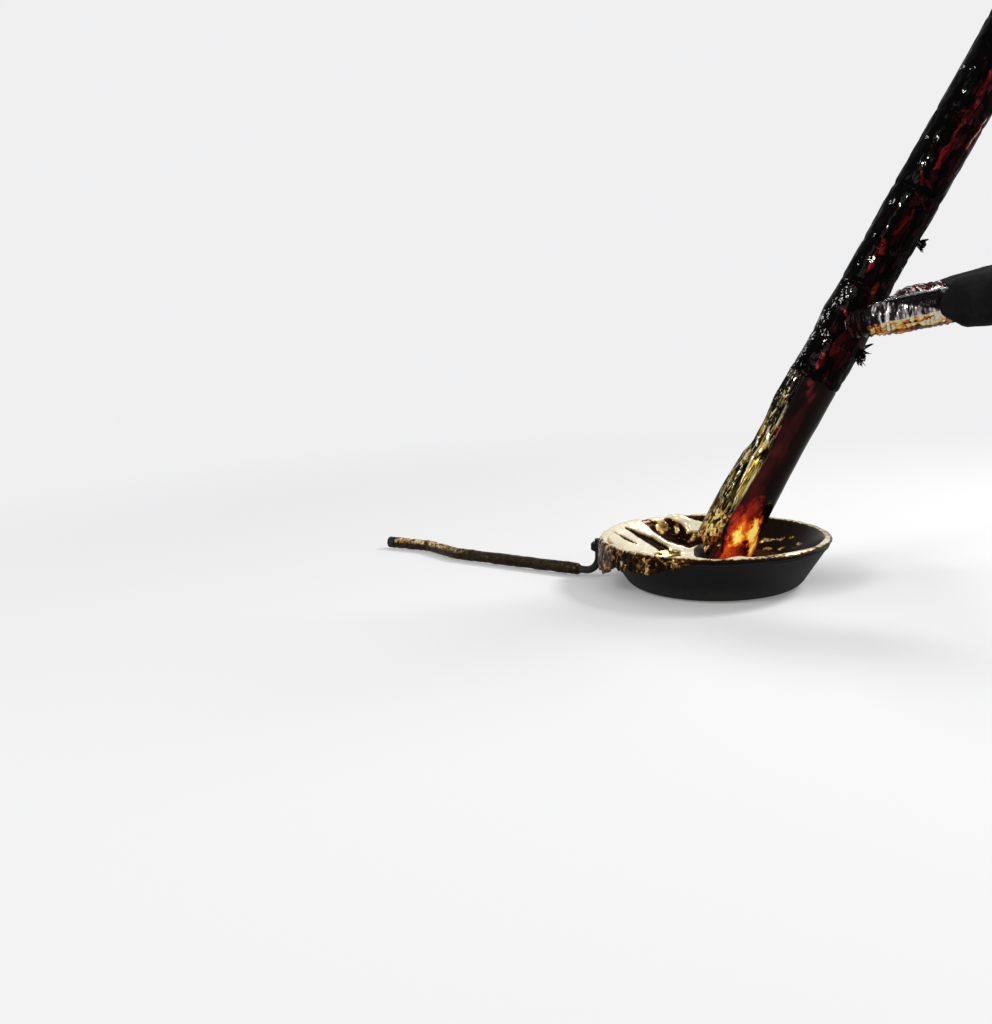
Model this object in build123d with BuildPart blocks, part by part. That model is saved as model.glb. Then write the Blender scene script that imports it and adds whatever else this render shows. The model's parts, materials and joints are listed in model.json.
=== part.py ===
"""One landing leg of a lunar lander: a leaning crush strut on a round dished footpad, with two
secondary struts, the fold-out truss that carries them, and a bent ground-contact probe.

The origin is the centre of the bore that takes the vehicle's upper pin. X runs inboard, towards
the vehicle, Y across the leg, and Z up. Sizes are in millimetres.
"""

import math
import os

from build123d import *

# General fits
FIT = 0.1  # radial gap between a turned piece and what it seats in
SOFT_GAP = 0.3  # gap between a foil or blanket solid and what it wraps

# The leg's main points
LEAN = 29.0  # lean of the main strut from the vertical, in degrees
STRUT_LENGTH = 3296.0  # from the ankle ball's centre to the upper pin
STUD_HEIGHT = 1116.0  # along the strut, from the ankle ball to the secondary ball studs
STUD_INBOARD = 62.0  # the studs, square to the strut and inboard of its axis
STUD_SIDE = 128.0  # the studs, each side of the leg's middle plane
TRUSS_REACH = 950.0  # from a stud to its truss ball, inboard
TRUSS_RISE = 196.0  # from a stud to its truss ball, upwards
TRUSS_HALF = 560.0  # truss balls, each side of the middle plane
TRUSS_DEEP = 575.0  # from the truss balls to its hinge line, inboard
TRUSS_TALL = 396.0  # from the truss balls to its hinge line, upwards
PIVOT_HALF = 686.0  # truss hinges, each side of the middle plane

# Main strut
INNER_RADIUS = 70.0
INNER_WALL = 4.0
OUTER_RADIUS = 82.5
OUTER_WALL = 6.0
INNER_FOOT = 190.0  # where the inner cylinder starts
INNER_TOP = 1700.0  # where its piston ends, inside the outer cylinder
PISTON_HEIGHT = 60.0
GLAND_DROP = 82.0  # from the collar's middle down to the foot of the outer cylinder
GLAND_HEIGHT = 26.0
GLAND_RADIUS = 86.0
COLLAR_DROP = 28.0  # from the studs down to the collar's middle
COLLAR_RADIUS = 99.0
COLLAR_TALL = 92.0
COLLAR_BEVEL = 8.0
STUD_ROOT = 24.0  # radius of a stud's root at the collar
STUD_OVERHANG = 90.0  # from a stud ball back to its root inside the collar

# Upper universal joint
PIN_RADIUS = 19.05  # bore for the vehicle's upper pin
EYE_RADIUS = 38.0
EYE_WIDTH = 100.0
CROSS_DROP = 74.0  # from the upper pin down to the cross pin
CROSS_RADIUS = 15.0
SHANK_WIDE = 60.0
SHANK_DEEP = 84.0
SHANK_END = 34.0  # below the cross pin
EAR_THICK = 18.0
EAR_ROUND = 34.0
PIN_HEAD = 10.0
FORK_REACH = 42.0  # from the cap up to the cross pin
CAP_THICK = 30.0
CAP_RADIUS = 88.0

# Ankle
BALL_RADIUS = 52.0
STEM_RADIUS = 21.0
STEM_LENGTH = 120.0
FOOT_FLANGE = 16.0
RACE_WALL = 7.0
RUNNING_GAP = 0.3  # between ball, race and socket
SOCKET_WALL = 12.0
LIP_ANGLE = 66.0  # of the mouth of race and socket, from straight up, in degrees
RACE_SKIRT = 60.0  # how far the race reaches below its middle, in degrees

# Footpad
WALL_TOP_RADIUS = 464.0  # outside of the dish at the top of its side
WALL_TOP = 171.0
PAD_FOOT_RADIUS = 352.0  # where flat underside and sloping side would meet
PAD_EDGE_ROUND = 70.0
PAD_WALL = 22.0
RIM_ROUND = 14.0  # bead that closes the dish's edge
BALL_HEIGHT = 130.0  # ankle ball's centre above the underside
HUB_FOOT_RADIUS = 120.0
HUB_FLANGE = 10.0
HUB_RING = 14.0  # bolting flange round the socket
SPLIT_RISE = 2.0  # from the ball's centre up to the joint between hub and cap

# Secondary struts
STUD_BALL = 24.0
STUD_NECK = 12.0
CUP_WALL = 10.0
CUP_LIP_ANGLE = 50.0
CUP_NECK = 21.0
ROD_RADIUS = 38.0
ROD_WALL = 4.0
ROD_START = 84.0
ROD_END = 640.0
ROD_PISTON = 40.0
BARREL_RADIUS = 57.0
BARREL_WALL = 4.0
BARREL_START = 345.0
BARREL_LIP = 26.0
BARREL_TAPER = 130.0  # length of the cone before the inboard cup
BARREL_CLEAR = 90.0  # from the end of that cone to the truss ball

# Deployment truss
CORNER_OFFSET = 96.0  # from the truss ball to the middle of its corner fitting
CORNER_RADIUS = 34.0
SIDE_TUBE = 24.0
CROSS_TUBE = 20.0
BRACE_TUBE = 16.0
TUBE_WALL = 2.5
STUB_LENGTH = 70.0
STUB_EXTRA = 5.0
LUG_RADIUS = 30.0
LUG_CHEEK = 1.0  # how far a lug's faces stand out past the stub of its side tube
LUG_BORE = 12.7

# Downlock links
LINK_THICK = 16.0
LINK_END = 20.0  # radius of a link's ends
LINK_BORE = 9.5
LINK_SHARE = 0.5  # of the way down the truss side, where the clamp sits
LINK_STAGE_OUT = 20.0  # the link's upper pin, outboard of the truss hinge line
LINK_STAGE_RISE = 240.0  # and above it
CLAMP_WALL = 8.0
CLAMP_LONG = 52.0
CLAMP_REACH = 58.0  # from the side tube's axis to the link's lower pin
CLAMP_EAR = 9.0

# Foil and blankets
FILM_DROP = 258.0  # from the collar's middle down to where the upper foil laps over the film
FILM_INSIDE = 76.0
FILM_HEM = 35.0  # below the ankle ball's centre, the level hem of the film's boot
BOOT_LENGTH = 150.0  # how far the uncut boot reaches past the ankle ball's centre
BOOT_NECK = 62.0  # above the ankle ball, where the boot's inside starts to flare
BOOT_INSIDE = 100.0  # inner radius of the boot beside the ankle ball
BOOT_FLARE = 18.0  # how much wider the boot is at its uncut end
FOIL_MARGIN = 12.0  # bare length under the fork
STRUT_FOIL_RADIUS = 96.0
FOIL_THICK = 7.0
ROD_FOIL_START = 50.0
ROD_FOIL_RADIUS = 70.0
ROD_FOIL_SWELL = 76.0
SLEEVE_START = 345.0
SLEEVE_STOP = 905.0
SLEEVE_RADIUS = 90.0
SLEEVE_SWELL = 97.0
SLEEVE_SAG = 12.0  # how far the loose sleeve hangs below the barrel's axis
PAD_FOIL_THICK = 7.0
PAD_FOIL_SKIRT = 84.0  # how far the foil hangs down outside the rim, on the outboard side
PAD_FOIL_HEM = 26.0  # and how far on the inboard side, where it is only rolled over the bead
SKIRT_FROM = 130.0  # the long skirt runs from here round outboard, in degrees from inboard
SKIRT_TO = 255.0

# Ground-contact probe, lying bent along the ground
PROBE_RADIUS = 16.0
PROBE_FOIL = 30.0
PROBE_STAND_OFF = 496.0  # of the probe's upright part from the pad's axis
PROBE_HEADING = 172.0  # of its bracket round the pad, in degrees from inboard
PROBE_BEND = 70.0
BRACKET_WIDE = 52.0
BRACKET_FOOT = 122.0  # above the underside
BRACKET_TOP = 160.0
HEAD_RADIUS = 27.0
HEAD_LONG = 34.0

# Places worked out from the sizes above
lean = math.radians(LEAN)
strut_way = Vector(math.sin(lean), 0, math.cos(lean))
strut_inboard = Vector(math.cos(lean), 0, -math.sin(lean))
ball_centre = strut_way * -STRUT_LENGTH
ground = ball_centre.Z - BALL_HEIGHT
strut_axis = Axis(ball_centre, strut_way)
strut = Plane(origin=ball_centre, x_dir=strut_inboard, z_dir=strut_way)
strut_half = Plane(origin=ball_centre, x_dir=strut_inboard, z_dir=Vector(0, -1, 0))
pad_half = Plane(origin=(ball_centre.X, 0, ground), x_dir=(1, 0, 0), z_dir=(0, -1, 0))
pad_axis = Axis(pad_half.origin, (0, 0, 1))

# The left-hand side of the leg, as seen from the vehicle; right-hand pieces are its mirror image
stud_centre = (
    ball_centre + strut_way * STUD_HEIGHT + strut_inboard * STUD_INBOARD - Vector(0, STUD_SIDE, 0)
)
truss_ball = Vector(stud_centre.X + TRUSS_REACH, -TRUSS_HALF, stud_centre.Z + TRUSS_RISE)
pivot_centre = Vector(truss_ball.X + TRUSS_DEEP, -PIVOT_HALF, truss_ball.Z + TRUSS_TALL)
arm_length = (truss_ball - stud_centre).length
arm_way = (truss_ball - stud_centre).normalized()
arm_across = Vector(0, 0, 1).cross(arm_way).normalized()
arm_half = Plane(origin=stud_centre, x_dir=arm_across, z_dir=arm_across.cross(arm_way))
arm_axis = Axis(stud_centre, arm_way)
corner_centre = truss_ball + arm_way * CORNER_OFFSET
middle_plane = Plane.XZ
outer_top = STRUT_LENGTH - CROSS_DROP - FORK_REACH - CAP_THICK


def outline(plane, *points):
    """A closed straight-sided outline on a plane."""
    with BuildSketch(plane) as drawn:
        with BuildLine():
            Polyline(*points, close=True)
        make_face()
    return drawn.sketch


def beside(points, distance):
    """The corners of a line that runs beside another one, to its left."""
    ways = [
        (Vector(*points[i + 1]) - Vector(*points[i])).normalized() for i in range(len(points) - 1)
    ]
    lefts = [Vector(-way.Y, way.X) for way in ways]
    moved = [Vector(*points[0]) + lefts[0] * distance]
    for i in range(1, len(points) - 1):
        bisector = (lefts[i - 1] + lefts[i]).normalized()
        moved.append(Vector(*points[i]) + bisector * (distance / bisector.dot(lefts[i])))
    moved.append(Vector(*points[-1]) + lefts[-1] * distance)
    return [(point.X, point.Y) for point in moved]


def tube_between(start, stop, radius, wall):
    """A straight tube from one point to another."""
    with BuildPart() as tube:
        with BuildSketch(Plane(origin=start, z_dir=stop - start)):
            Circle(radius)
            Circle(radius - wall, mode=Mode.SUBTRACT)
        extrude(amount=(stop - start).length)
    return tube.part


def keep(builder, name):
    """Labels a finished piece and writes it to its own file."""
    builder.part.label = name
    export_step(builder.part, f"parts/{name}.step")


def keep_pair(builder, name):
    """Writes a left-hand piece and its mirror image."""
    keep(builder, f"{name}_left")
    with BuildPart() as other:
        mirror(builder.part, about=middle_plane)
    keep(other, f"{name}_right")


os.makedirs("parts", exist_ok=True)

# Upper universal joint: an eye block for the vehicle's pin, hung on a cross pin in a fork
across_eye = Plane(origin=(0, 0, 0), x_dir=strut_inboard, z_dir=(0, -1, 0))
cross_centre = ball_centre + strut_way * (STRUT_LENGTH - CROSS_DROP)
across_cross = Plane(origin=cross_centre, x_dir=(0, 1, 0), z_dir=strut_inboard)

with BuildPart() as trunnion_block:
    with BuildSketch(across_eye):
        Circle(EYE_RADIUS)
    extrude(amount=EYE_WIDTH / 2, both=True)
    with BuildSketch(across_cross):
        with Locations((0, CROSS_DROP / 2)):
            Rectangle(SHANK_DEEP, CROSS_DROP)
        SlotCenterToCenter(SHANK_DEEP - 2 * SHANK_END, 2 * SHANK_END)
    extrude(amount=SHANK_WIDE / 2, both=True)
    with BuildSketch(across_eye):
        Circle(PIN_RADIUS)
    extrude(amount=EYE_WIDTH, both=True, mode=Mode.SUBTRACT)
    with BuildSketch(across_cross):
        Circle(CROSS_RADIUS + FIT)
    extrude(amount=SHANK_WIDE, both=True, mode=Mode.SUBTRACT)
keep(trunnion_block, "trunnion_block")

ear_inside = SHANK_WIDE / 2 + SOFT_GAP
ear_outside = ear_inside + EAR_THICK
ear_foot = FORK_REACH + CAP_THICK / 2
spigot = OUTER_RADIUS - OUTER_WALL - FIT
with BuildPart() as strut_fork:
    with BuildSketch(strut.offset(outer_top)):
        Circle(CAP_RADIUS)
    extrude(amount=CAP_THICK)
    with BuildSketch(strut.offset(outer_top)):
        Circle(spigot)
    extrude(amount=-CAP_THICK)
    for side in (-1, 1):
        with BuildSketch(across_cross.offset(side * ear_inside)):
            Circle(EAR_ROUND)
            with Locations((0, -ear_foot / 2)):
                Rectangle(2 * EAR_ROUND, ear_foot)
        extrude(amount=side * EAR_THICK)
    with BuildSketch(across_cross):
        Circle(CROSS_RADIUS + FIT)
    extrude(amount=ear_outside + 1, both=True, mode=Mode.SUBTRACT)
keep(strut_fork, "strut_fork")

with BuildPart() as cross_pin:
    with BuildSketch(across_cross):
        Circle(CROSS_RADIUS)
    extrude(amount=ear_outside, both=True)
    for side in (-1, 1):
        with BuildSketch(across_cross.offset(side * ear_outside)):
            RegularPolygon(CROSS_RADIUS + 8, 6)
        extrude(amount=side * PIN_HEAD)
keep(cross_pin, "cross_pin")

# Main strut: the outer cylinder, its gland and the inner cylinder that slides in it
collar_middle = STUD_HEIGHT - COLLAR_DROP
outer_foot = collar_middle - GLAND_DROP
gland_top = outer_foot + GLAND_HEIGHT
bore = OUTER_RADIUS - OUTER_WALL
with BuildPart() as outer_cylinder:
    revolve(
        outline(
            strut_half, (bore, gland_top), (OUTER_RADIUS, gland_top), (OUTER_RADIUS, outer_top), (bore, outer_top)
        ),
        axis=strut_axis,
    )
keep(outer_cylinder, "outer_cylinder")

with BuildPart() as gland_ring:
    revolve(
        outline(
            strut_half,
            (INNER_RADIUS + FIT, outer_foot),
            (GLAND_RADIUS - 3, outer_foot),
            (GLAND_RADIUS, outer_foot + 3),
            (GLAND_RADIUS, gland_top),
            (INNER_RADIUS + FIT, gland_top),
        ),
        axis=strut_axis,
    )
keep(gland_ring, "gland_ring")

piston = bore - FIT
inner_bore = INNER_RADIUS - INNER_WALL
with BuildPart() as inner_cylinder:
    revolve(
        outline(
            strut_half,
            (inner_bore, INNER_FOOT),
            (INNER_RADIUS, INNER_FOOT),
            (INNER_RADIUS, INNER_TOP - PISTON_HEIGHT),
            (piston, INNER_TOP - PISTON_HEIGHT),
            (piston, INNER_TOP),
            (inner_bore, INNER_TOP),
        ),
        axis=strut_axis,
    )
keep(inner_cylinder, "inner_cylinder")

# Collar with two necked ball studs, one for each secondary strut
collar_foot = collar_middle - COLLAR_TALL / 2
collar_top = collar_foot + COLLAR_TALL
neck_reach = math.sqrt(STUD_BALL**2 - STUD_NECK**2)
with BuildPart() as stud:
    with BuildSketch(arm_half):
        with BuildLine():
            s1 = ThreePointArc((STUD_NECK, -neck_reach), (STUD_BALL, 0), (0, STUD_BALL))
            Polyline(
                s1 @ 1,
                (0, -STUD_OVERHANG),
                (STUD_ROOT, -STUD_OVERHANG),
                (STUD_NECK, -neck_reach - STUD_NECK),
                s1 @ 0,
            )
        make_face()
    revolve(axis=arm_axis)

with BuildPart() as strut_collar:
    revolve(
        outline(
            strut_half,
            (0, collar_foot),
            (COLLAR_RADIUS - COLLAR_BEVEL, collar_foot),
            (COLLAR_RADIUS, collar_foot + COLLAR_BEVEL),
            (COLLAR_RADIUS, collar_top - COLLAR_BEVEL),
            (COLLAR_RADIUS - COLLAR_BEVEL, collar_top),
            (0, collar_top),
        ),
        axis=strut_axis,
    )
    add(stud.part)
    mirror(stud.part, about=middle_plane)
    with BuildSketch(strut.offset(collar_foot - COLLAR_TALL)):
        Circle(OUTER_RADIUS + FIT)
    extrude(amount=3 * COLLAR_TALL, mode=Mode.SUBTRACT)
keep(strut_collar, "strut_collar")

# Ankle: the lower fitting of the inner cylinder, its stem and the ball
with BuildPart() as ankle_fitting:
    stem_start = math.sqrt(BALL_RADIUS**2 - STEM_RADIUS**2)
    with BuildSketch(strut_half):
        with BuildLine():
            a1 = ThreePointArc((0, -BALL_RADIUS), (BALL_RADIUS, 0), (STEM_RADIUS, stem_start))
            Polyline(
                a1 @ 1,
                (STEM_RADIUS, STEM_LENGTH),
                (INNER_RADIUS - FOOT_FLANGE / 2, INNER_FOOT - FOOT_FLANGE),
                (INNER_RADIUS, INNER_FOOT - FOOT_FLANGE),
                (INNER_RADIUS, INNER_FOOT),
                (inner_bore - FIT, INNER_FOOT),
                (inner_bore - FIT, INNER_FOOT + 3 * FOOT_FLANGE),
                (0, INNER_FOOT + 3 * FOOT_FLANGE),
                a1 @ 0,
            )
        make_face()
    revolve(axis=strut_axis)
keep(ankle_fitting, "ankle_fitting")

# Secondary struts: a rod with a cup on the collar's stud, and a barrel with a cup on the truss ball
cup_inner = STUD_BALL + FIT
cup_outer = STUD_BALL + CUP_WALL
lip = math.radians(CUP_LIP_ANGLE)
lip_in = (cup_inner * math.sin(lip), cup_inner * math.cos(lip))
lip_out = (cup_outer * math.sin(lip), cup_outer * math.cos(lip))
shoulder = (cup_outer * math.sin(2 * lip / 2 + 0.1), cup_outer * math.cos(2 * lip / 2 + 0.1))
barrel_bore = BARREL_RADIUS - BARREL_WALL
with BuildPart() as secondary_rod:
    with BuildSketch(arm_half):
        with BuildLine():
            l1 = ThreePointArc((lip_in[0], -lip_in[1]), (cup_inner, 0), (0, cup_inner))
            l2 = Polyline(
                l1 @ 1,
                (0, ROD_START + 3 * ROD_WALL),
                (ROD_RADIUS - ROD_WALL, ROD_START + 3 * ROD_WALL),
                (ROD_RADIUS - ROD_WALL, ROD_END),
                (barrel_bore - FIT, ROD_END),
                (barrel_bore - FIT, ROD_END - ROD_PISTON),
                (ROD_RADIUS, ROD_END - ROD_PISTON),
                (ROD_RADIUS, ROD_START),
                (CUP_NECK, cup_outer + 8),
                shoulder,
            )
            l3 = ThreePointArc(l2 @ 1, (cup_outer, 0), (lip_out[0], -lip_out[1]))
            Line(l3 @ 1, l1 @ 0)
        make_face()
    revolve(axis=arm_axis)
keep_pair(secondary_rod, "secondary_rod")

cone_stop = arm_length - BARREL_CLEAR
cone_start = cone_stop - BARREL_TAPER
with BuildPart() as secondary_barrel:
    with BuildSketch(arm_half):
        with BuildLine():
            b1 = ThreePointArc(
                (lip_in[0], arm_length + lip_in[1]), (cup_inner, arm_length), (0, arm_length - cup_inner)
            )
            b2 = Polyline(
                b1 @ 1,
                (0, cone_start),
                (barrel_bore, cone_start),
                (barrel_bore, BARREL_START + BARREL_LIP),
                (ROD_RADIUS + FIT, BARREL_START + BARREL_LIP),
                (ROD_RADIUS + FIT, BARREL_START),
                (BARREL_RADIUS, BARREL_START),
                (BARREL_RADIUS, cone_start),
                (CUP_NECK, cone_stop),
                (CUP_NECK, arm_length - cup_outer - 8),
                (shoulder[0], arm_length - shoulder[1]),
            )
            b3 = ThreePointArc(b2 @ 1, (cup_outer, arm_length), (lip_out[0], arm_length + lip_out[1]))
            Line(b3 @ 1, b1 @ 0)
        make_face()
    revolve(axis=arm_axis)
keep_pair(secondary_barrel, "secondary_barrel")

# Deployment truss: hinge lugs, corner fittings with ball studs, and the tubes between them
back_middle = Vector(pivot_centre.X, 0, pivot_centre.Z)
other_corner = Vector(corner_centre.X, -corner_centre.Y, corner_centre.Z)
with BuildPart() as truss_corner:
    with BuildSketch(arm_half):
        with BuildLine():
            c1 = ThreePointArc(
                (0, arm_length - STUD_BALL), (STUD_BALL, arm_length), (STUD_NECK, arm_length + neck_reach)
            )
            c2 = Polyline(
                c1 @ 1,
                (STUD_NECK, arm_length + neck_reach + STUD_NECK),
                (STUD_ROOT, arm_length + CORNER_OFFSET - CORNER_RADIUS),
                (STUD_ROOT, arm_length + CORNER_OFFSET - CORNER_RADIUS + 10),
            )
            c3 = ThreePointArc(
                c2 @ 1, (CORNER_RADIUS, arm_length + CORNER_OFFSET), (0, arm_length + CORNER_OFFSET + CORNER_RADIUS)
            )
            Line(c3 @ 1, c1 @ 0)
        make_face()
    revolve(axis=arm_axis)
    for target, radius in (
        (pivot_centre, SIDE_TUBE + STUB_EXTRA),
        (other_corner, CROSS_TUBE + STUB_EXTRA),
        (back_middle, BRACE_TUBE + STUB_EXTRA),
    ):
        with BuildSketch(Plane(origin=corner_centre, z_dir=target - corner_centre)):
            Circle(radius)
        extrude(amount=STUB_LENGTH)
keep_pair(truss_corner, "truss_corner")

side_way = (corner_centre - pivot_centre).normalized()
lug_half = SIDE_TUBE + STUB_EXTRA + LUG_CHEEK
with BuildPart() as truss_lug:
    with BuildSketch(Plane(origin=pivot_centre, z_dir=(0, 1, 0))):
        Circle(LUG_RADIUS)
    extrude(amount=lug_half, both=True)
    for way, radius in ((side_way, SIDE_TUBE + STUB_EXTRA), (Vector(0, 1, 0), CROSS_TUBE + STUB_EXTRA)):
        with BuildSketch(Plane(origin=pivot_centre, z_dir=way)):
            Circle(radius)
        extrude(amount=STUB_LENGTH)
    with BuildSketch(Plane(origin=pivot_centre + Vector(0, lug_half, 0), z_dir=(0, -1, 0))):
        Circle(LUG_BORE)
    extrude(amount=4 * lug_half, mode=Mode.SUBTRACT)
keep_pair(truss_lug, "truss_lug")

with BuildPart() as truss_side:
    add(
        tube_between(
            pivot_centre + side_way * STUB_LENGTH, corner_centre - side_way * STUB_LENGTH, SIDE_TUBE, TUBE_WALL
        )
    )
keep_pair(truss_side, "truss_side")

brace_way = (corner_centre - back_middle).normalized()
brace_foot = STUB_LENGTH + STUB_EXTRA
with BuildPart() as truss_brace:
    add(
        tube_between(
            back_middle + brace_way * brace_foot, corner_centre - brace_way * STUB_LENGTH, BRACE_TUBE, TUBE_WALL
        )
    )
keep_pair(truss_brace, "truss_brace")

inward = Vector(0, STUB_LENGTH, 0)
with BuildPart() as truss_front:
    add(tube_between(corner_centre + inward, other_corner - inward, CROSS_TUBE, TUBE_WALL))
keep(truss_front, "truss_front")

with BuildPart() as truss_back:
    with BuildSketch(Plane(origin=pivot_centre + inward, z_dir=(0, 1, 0))):
        Circle(CROSS_TUBE)
    extrude(amount=2 * (PIVOT_HALF - STUB_LENGTH))
    for corner in (corner_centre, other_corner):
        with BuildSketch(Plane(origin=back_middle, z_dir=corner - back_middle)):
            Circle(BRACE_TUBE + STUB_EXTRA)
        extrude(amount=brace_foot)
keep(truss_back, "truss_back")

# Downlock links: a clamp on each truss side and a link from it up to the vehicle
clamp_centre = pivot_centre + side_way * ((corner_centre - pivot_centre).length * LINK_SHARE)
stage_pin = Vector(pivot_centre.X - LINK_STAGE_OUT, clamp_centre.Y, pivot_centre.Z + LINK_STAGE_RISE)
ear_way = Vector(side_way.Z, 0, -side_way.X).normalized()
clamp_pin = clamp_centre + ear_way * CLAMP_REACH
ear_plane = Plane(origin=clamp_centre, x_dir=ear_way, z_dir=(0, 1, 0))
link_plane = Plane(origin=clamp_pin, x_dir=stage_pin - clamp_pin, z_dir=(0, 1, 0))
link_length = (stage_pin - clamp_pin).length
ear_start = LINK_THICK / 2 + SOFT_GAP
with BuildPart() as downlock_clamp:
    with BuildSketch(Plane(origin=clamp_centre, z_dir=side_way)):
        Circle(SIDE_TUBE + CLAMP_WALL)
    extrude(amount=CLAMP_LONG / 2, both=True)
    for side in (-1, 1):
        with BuildSketch(ear_plane.offset(side * ear_start)):
            with Locations((CLAMP_REACH / 2, 0)):
                SlotCenterToCenter(CLAMP_REACH, 2 * LINK_END)
        extrude(amount=side * CLAMP_EAR)
    with BuildSketch(link_plane):
        Circle(LINK_BORE - FIT)
    extrude(amount=ear_start + CLAMP_EAR, both=True)
    with BuildSketch(Plane(origin=clamp_centre, z_dir=side_way)):
        Circle(SIDE_TUBE + FIT)
    extrude(amount=2 * CLAMP_LONG, both=True, mode=Mode.SUBTRACT)
keep_pair(downlock_clamp, "downlock_clamp")

with BuildPart() as downlock_link:
    with BuildSketch(link_plane):
        with Locations((0, 0), (link_length, 0)):
            Circle(LINK_END)
        with Locations((link_length / 2, 0)):
            Rectangle(link_length, 1.5 * LINK_END)
        with Locations((0, 0), (link_length, 0)):
            Circle(LINK_BORE, mode=Mode.SUBTRACT)
        with Locations((link_length / 2, 0)):
            SlotOverall(0.6 * link_length, 0.6 * LINK_END, mode=Mode.SUBTRACT)
    extrude(amount=LINK_THICK / 2, both=True)
keep_pair(downlock_link, "downlock_link")

# Footpad: a sandwich dish, the bead on its edge, the socket hub, the race and the cap
dish_outside = [(0, 0), (PAD_FOOT_RADIUS, 0), (WALL_TOP_RADIUS, WALL_TOP)]
dish_inside = beside(dish_outside, PAD_WALL)
rim_middle = (Vector(*dish_outside[-1]) + Vector(*dish_inside[-1])) / 2
with BuildSketch(pad_half) as dish_section:
    with BuildLine():
        FilletPolyline(*dish_outside, radius=PAD_EDGE_ROUND)
        Line(dish_outside[-1], dish_inside[-1])
        FilletPolyline(*dish_inside, radius=PAD_EDGE_ROUND - PAD_WALL)
        Line(dish_inside[0], dish_outside[0])
    make_face()
with BuildPart() as pad_dish:
    revolve(dish_section.sketch, axis=pad_axis)
keep(pad_dish, "pad_dish")

with BuildPart() as pad_rim:
    with BuildSketch(pad_half):
        with Locations((rim_middle.X, rim_middle.Y)):
            Circle(RIM_ROUND)
    revolve(axis=pad_axis)
    add(pad_dish.part, mode=Mode.SUBTRACT)
keep(pad_rim, "pad_rim")

race_inner = BALL_RADIUS + RUNNING_GAP
race_outer = race_inner + RACE_WALL
socket_inner = race_outer + RUNNING_GAP
socket_outer = socket_inner + SOCKET_WALL
mouth = math.radians(LIP_ANGLE)
split_height = BALL_HEIGHT + SPLIT_RISE
cap_top = BALL_HEIGHT + socket_inner * math.cos(mouth)
flange_top = PAD_WALL + HUB_FLANGE
with BuildPart() as pad_hub:
    revolve(
        outline(
            pad_half,
            (0, PAD_WALL),
            (HUB_FOOT_RADIUS, PAD_WALL),
            (HUB_FOOT_RADIUS, flange_top),
            (socket_outer + HUB_RING / 2, flange_top + HUB_RING),
            (socket_outer, split_height - 2 * HUB_RING),
            (socket_outer + HUB_RING, split_height - HUB_RING),
            (socket_outer + HUB_RING, split_height),
            (0, split_height),
        ),
        axis=pad_axis,
    )
    with Locations(ball_centre):
        Sphere(socket_inner, mode=Mode.SUBTRACT)
keep(pad_hub, "pad_hub")

with BuildPart() as pad_cap:
    revolve(
        outline(
            pad_half,
            (0, split_height),
            (socket_outer + HUB_RING, split_height),
            (socket_outer + HUB_RING, split_height + 0.7 * HUB_RING),
            (socket_outer - 2, cap_top),
            (0, cap_top),
        ),
        axis=pad_axis,
    )
    with Locations(ball_centre):
        Sphere(socket_inner, mode=Mode.SUBTRACT)
keep(pad_cap, "pad_cap")

with BuildPart() as pad_race:
    with BuildSketch(Plane(origin=ball_centre, x_dir=(1, 0, 0), z_dir=(0, -1, 0))):
        with BuildLine():
            sweep_angle = RACE_SKIRT + 90 - LIP_ANGLE
            r1 = CenterArc((0, 0), race_inner, -RACE_SKIRT, sweep_angle)
            r2 = CenterArc((0, 0), race_outer, -RACE_SKIRT, sweep_angle)
            Line(r1 @ 0, r2 @ 0)
            Line(r1 @ 1, r2 @ 1)
        make_face()
    revolve(axis=Axis(ball_centre, (0, 0, 1)))
keep(pad_race, "pad_race")

# Ground-contact probe: a bracket under the rim, and the boom, bent down to the ground and along it
PROBE_TRACK = (  # (inboard, across) of the boom's bends and tip from the pad's axis, on the ground
    (-1185.0, 449.0),
    (-1359.0, 631.0),
    (-1550.0, 720.0),
)
heading = math.radians(PROBE_HEADING)
probe_out = Vector(math.cos(heading), math.sin(heading), 0)
pad_floor = Vector(ball_centre.X, 0, ground)
boom_height = PROBE_FOIL + 1
boom_bends = [
    pad_floor + probe_out * PROBE_STAND_OFF + Vector(0, 0, BRACKET_TOP + PROBE_RADIUS),
    pad_floor + probe_out * PROBE_STAND_OFF + Vector(0, 0, boom_height),
] + [pad_floor + Vector(inboard, across, boom_height) for inboard, across in PROBE_TRACK]
with BuildPart() as probe_boom:
    with BuildLine() as boom_path:
        FilletPolyline(*boom_bends, radius=[PROBE_BEND, 2 * PROBE_BEND, 2 * PROBE_BEND])
    with BuildSketch(Plane(origin=boom_path.line @ 0, z_dir=boom_path.line % 0)):
        Circle(PROBE_RADIUS)
    sweep(path=boom_path.line)
keep(probe_boom, "probe_boom")

boom_tip = boom_bends[-1]
tip_way = (boom_bends[-1] - boom_bends[-2]).normalized()
with BuildPart() as probe_head:
    with BuildSketch(Plane(origin=boom_tip, z_dir=tip_way)):
        Circle(HEAD_RADIUS)
    extrude(amount=HEAD_LONG)
keep(probe_head, "probe_head")

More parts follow.
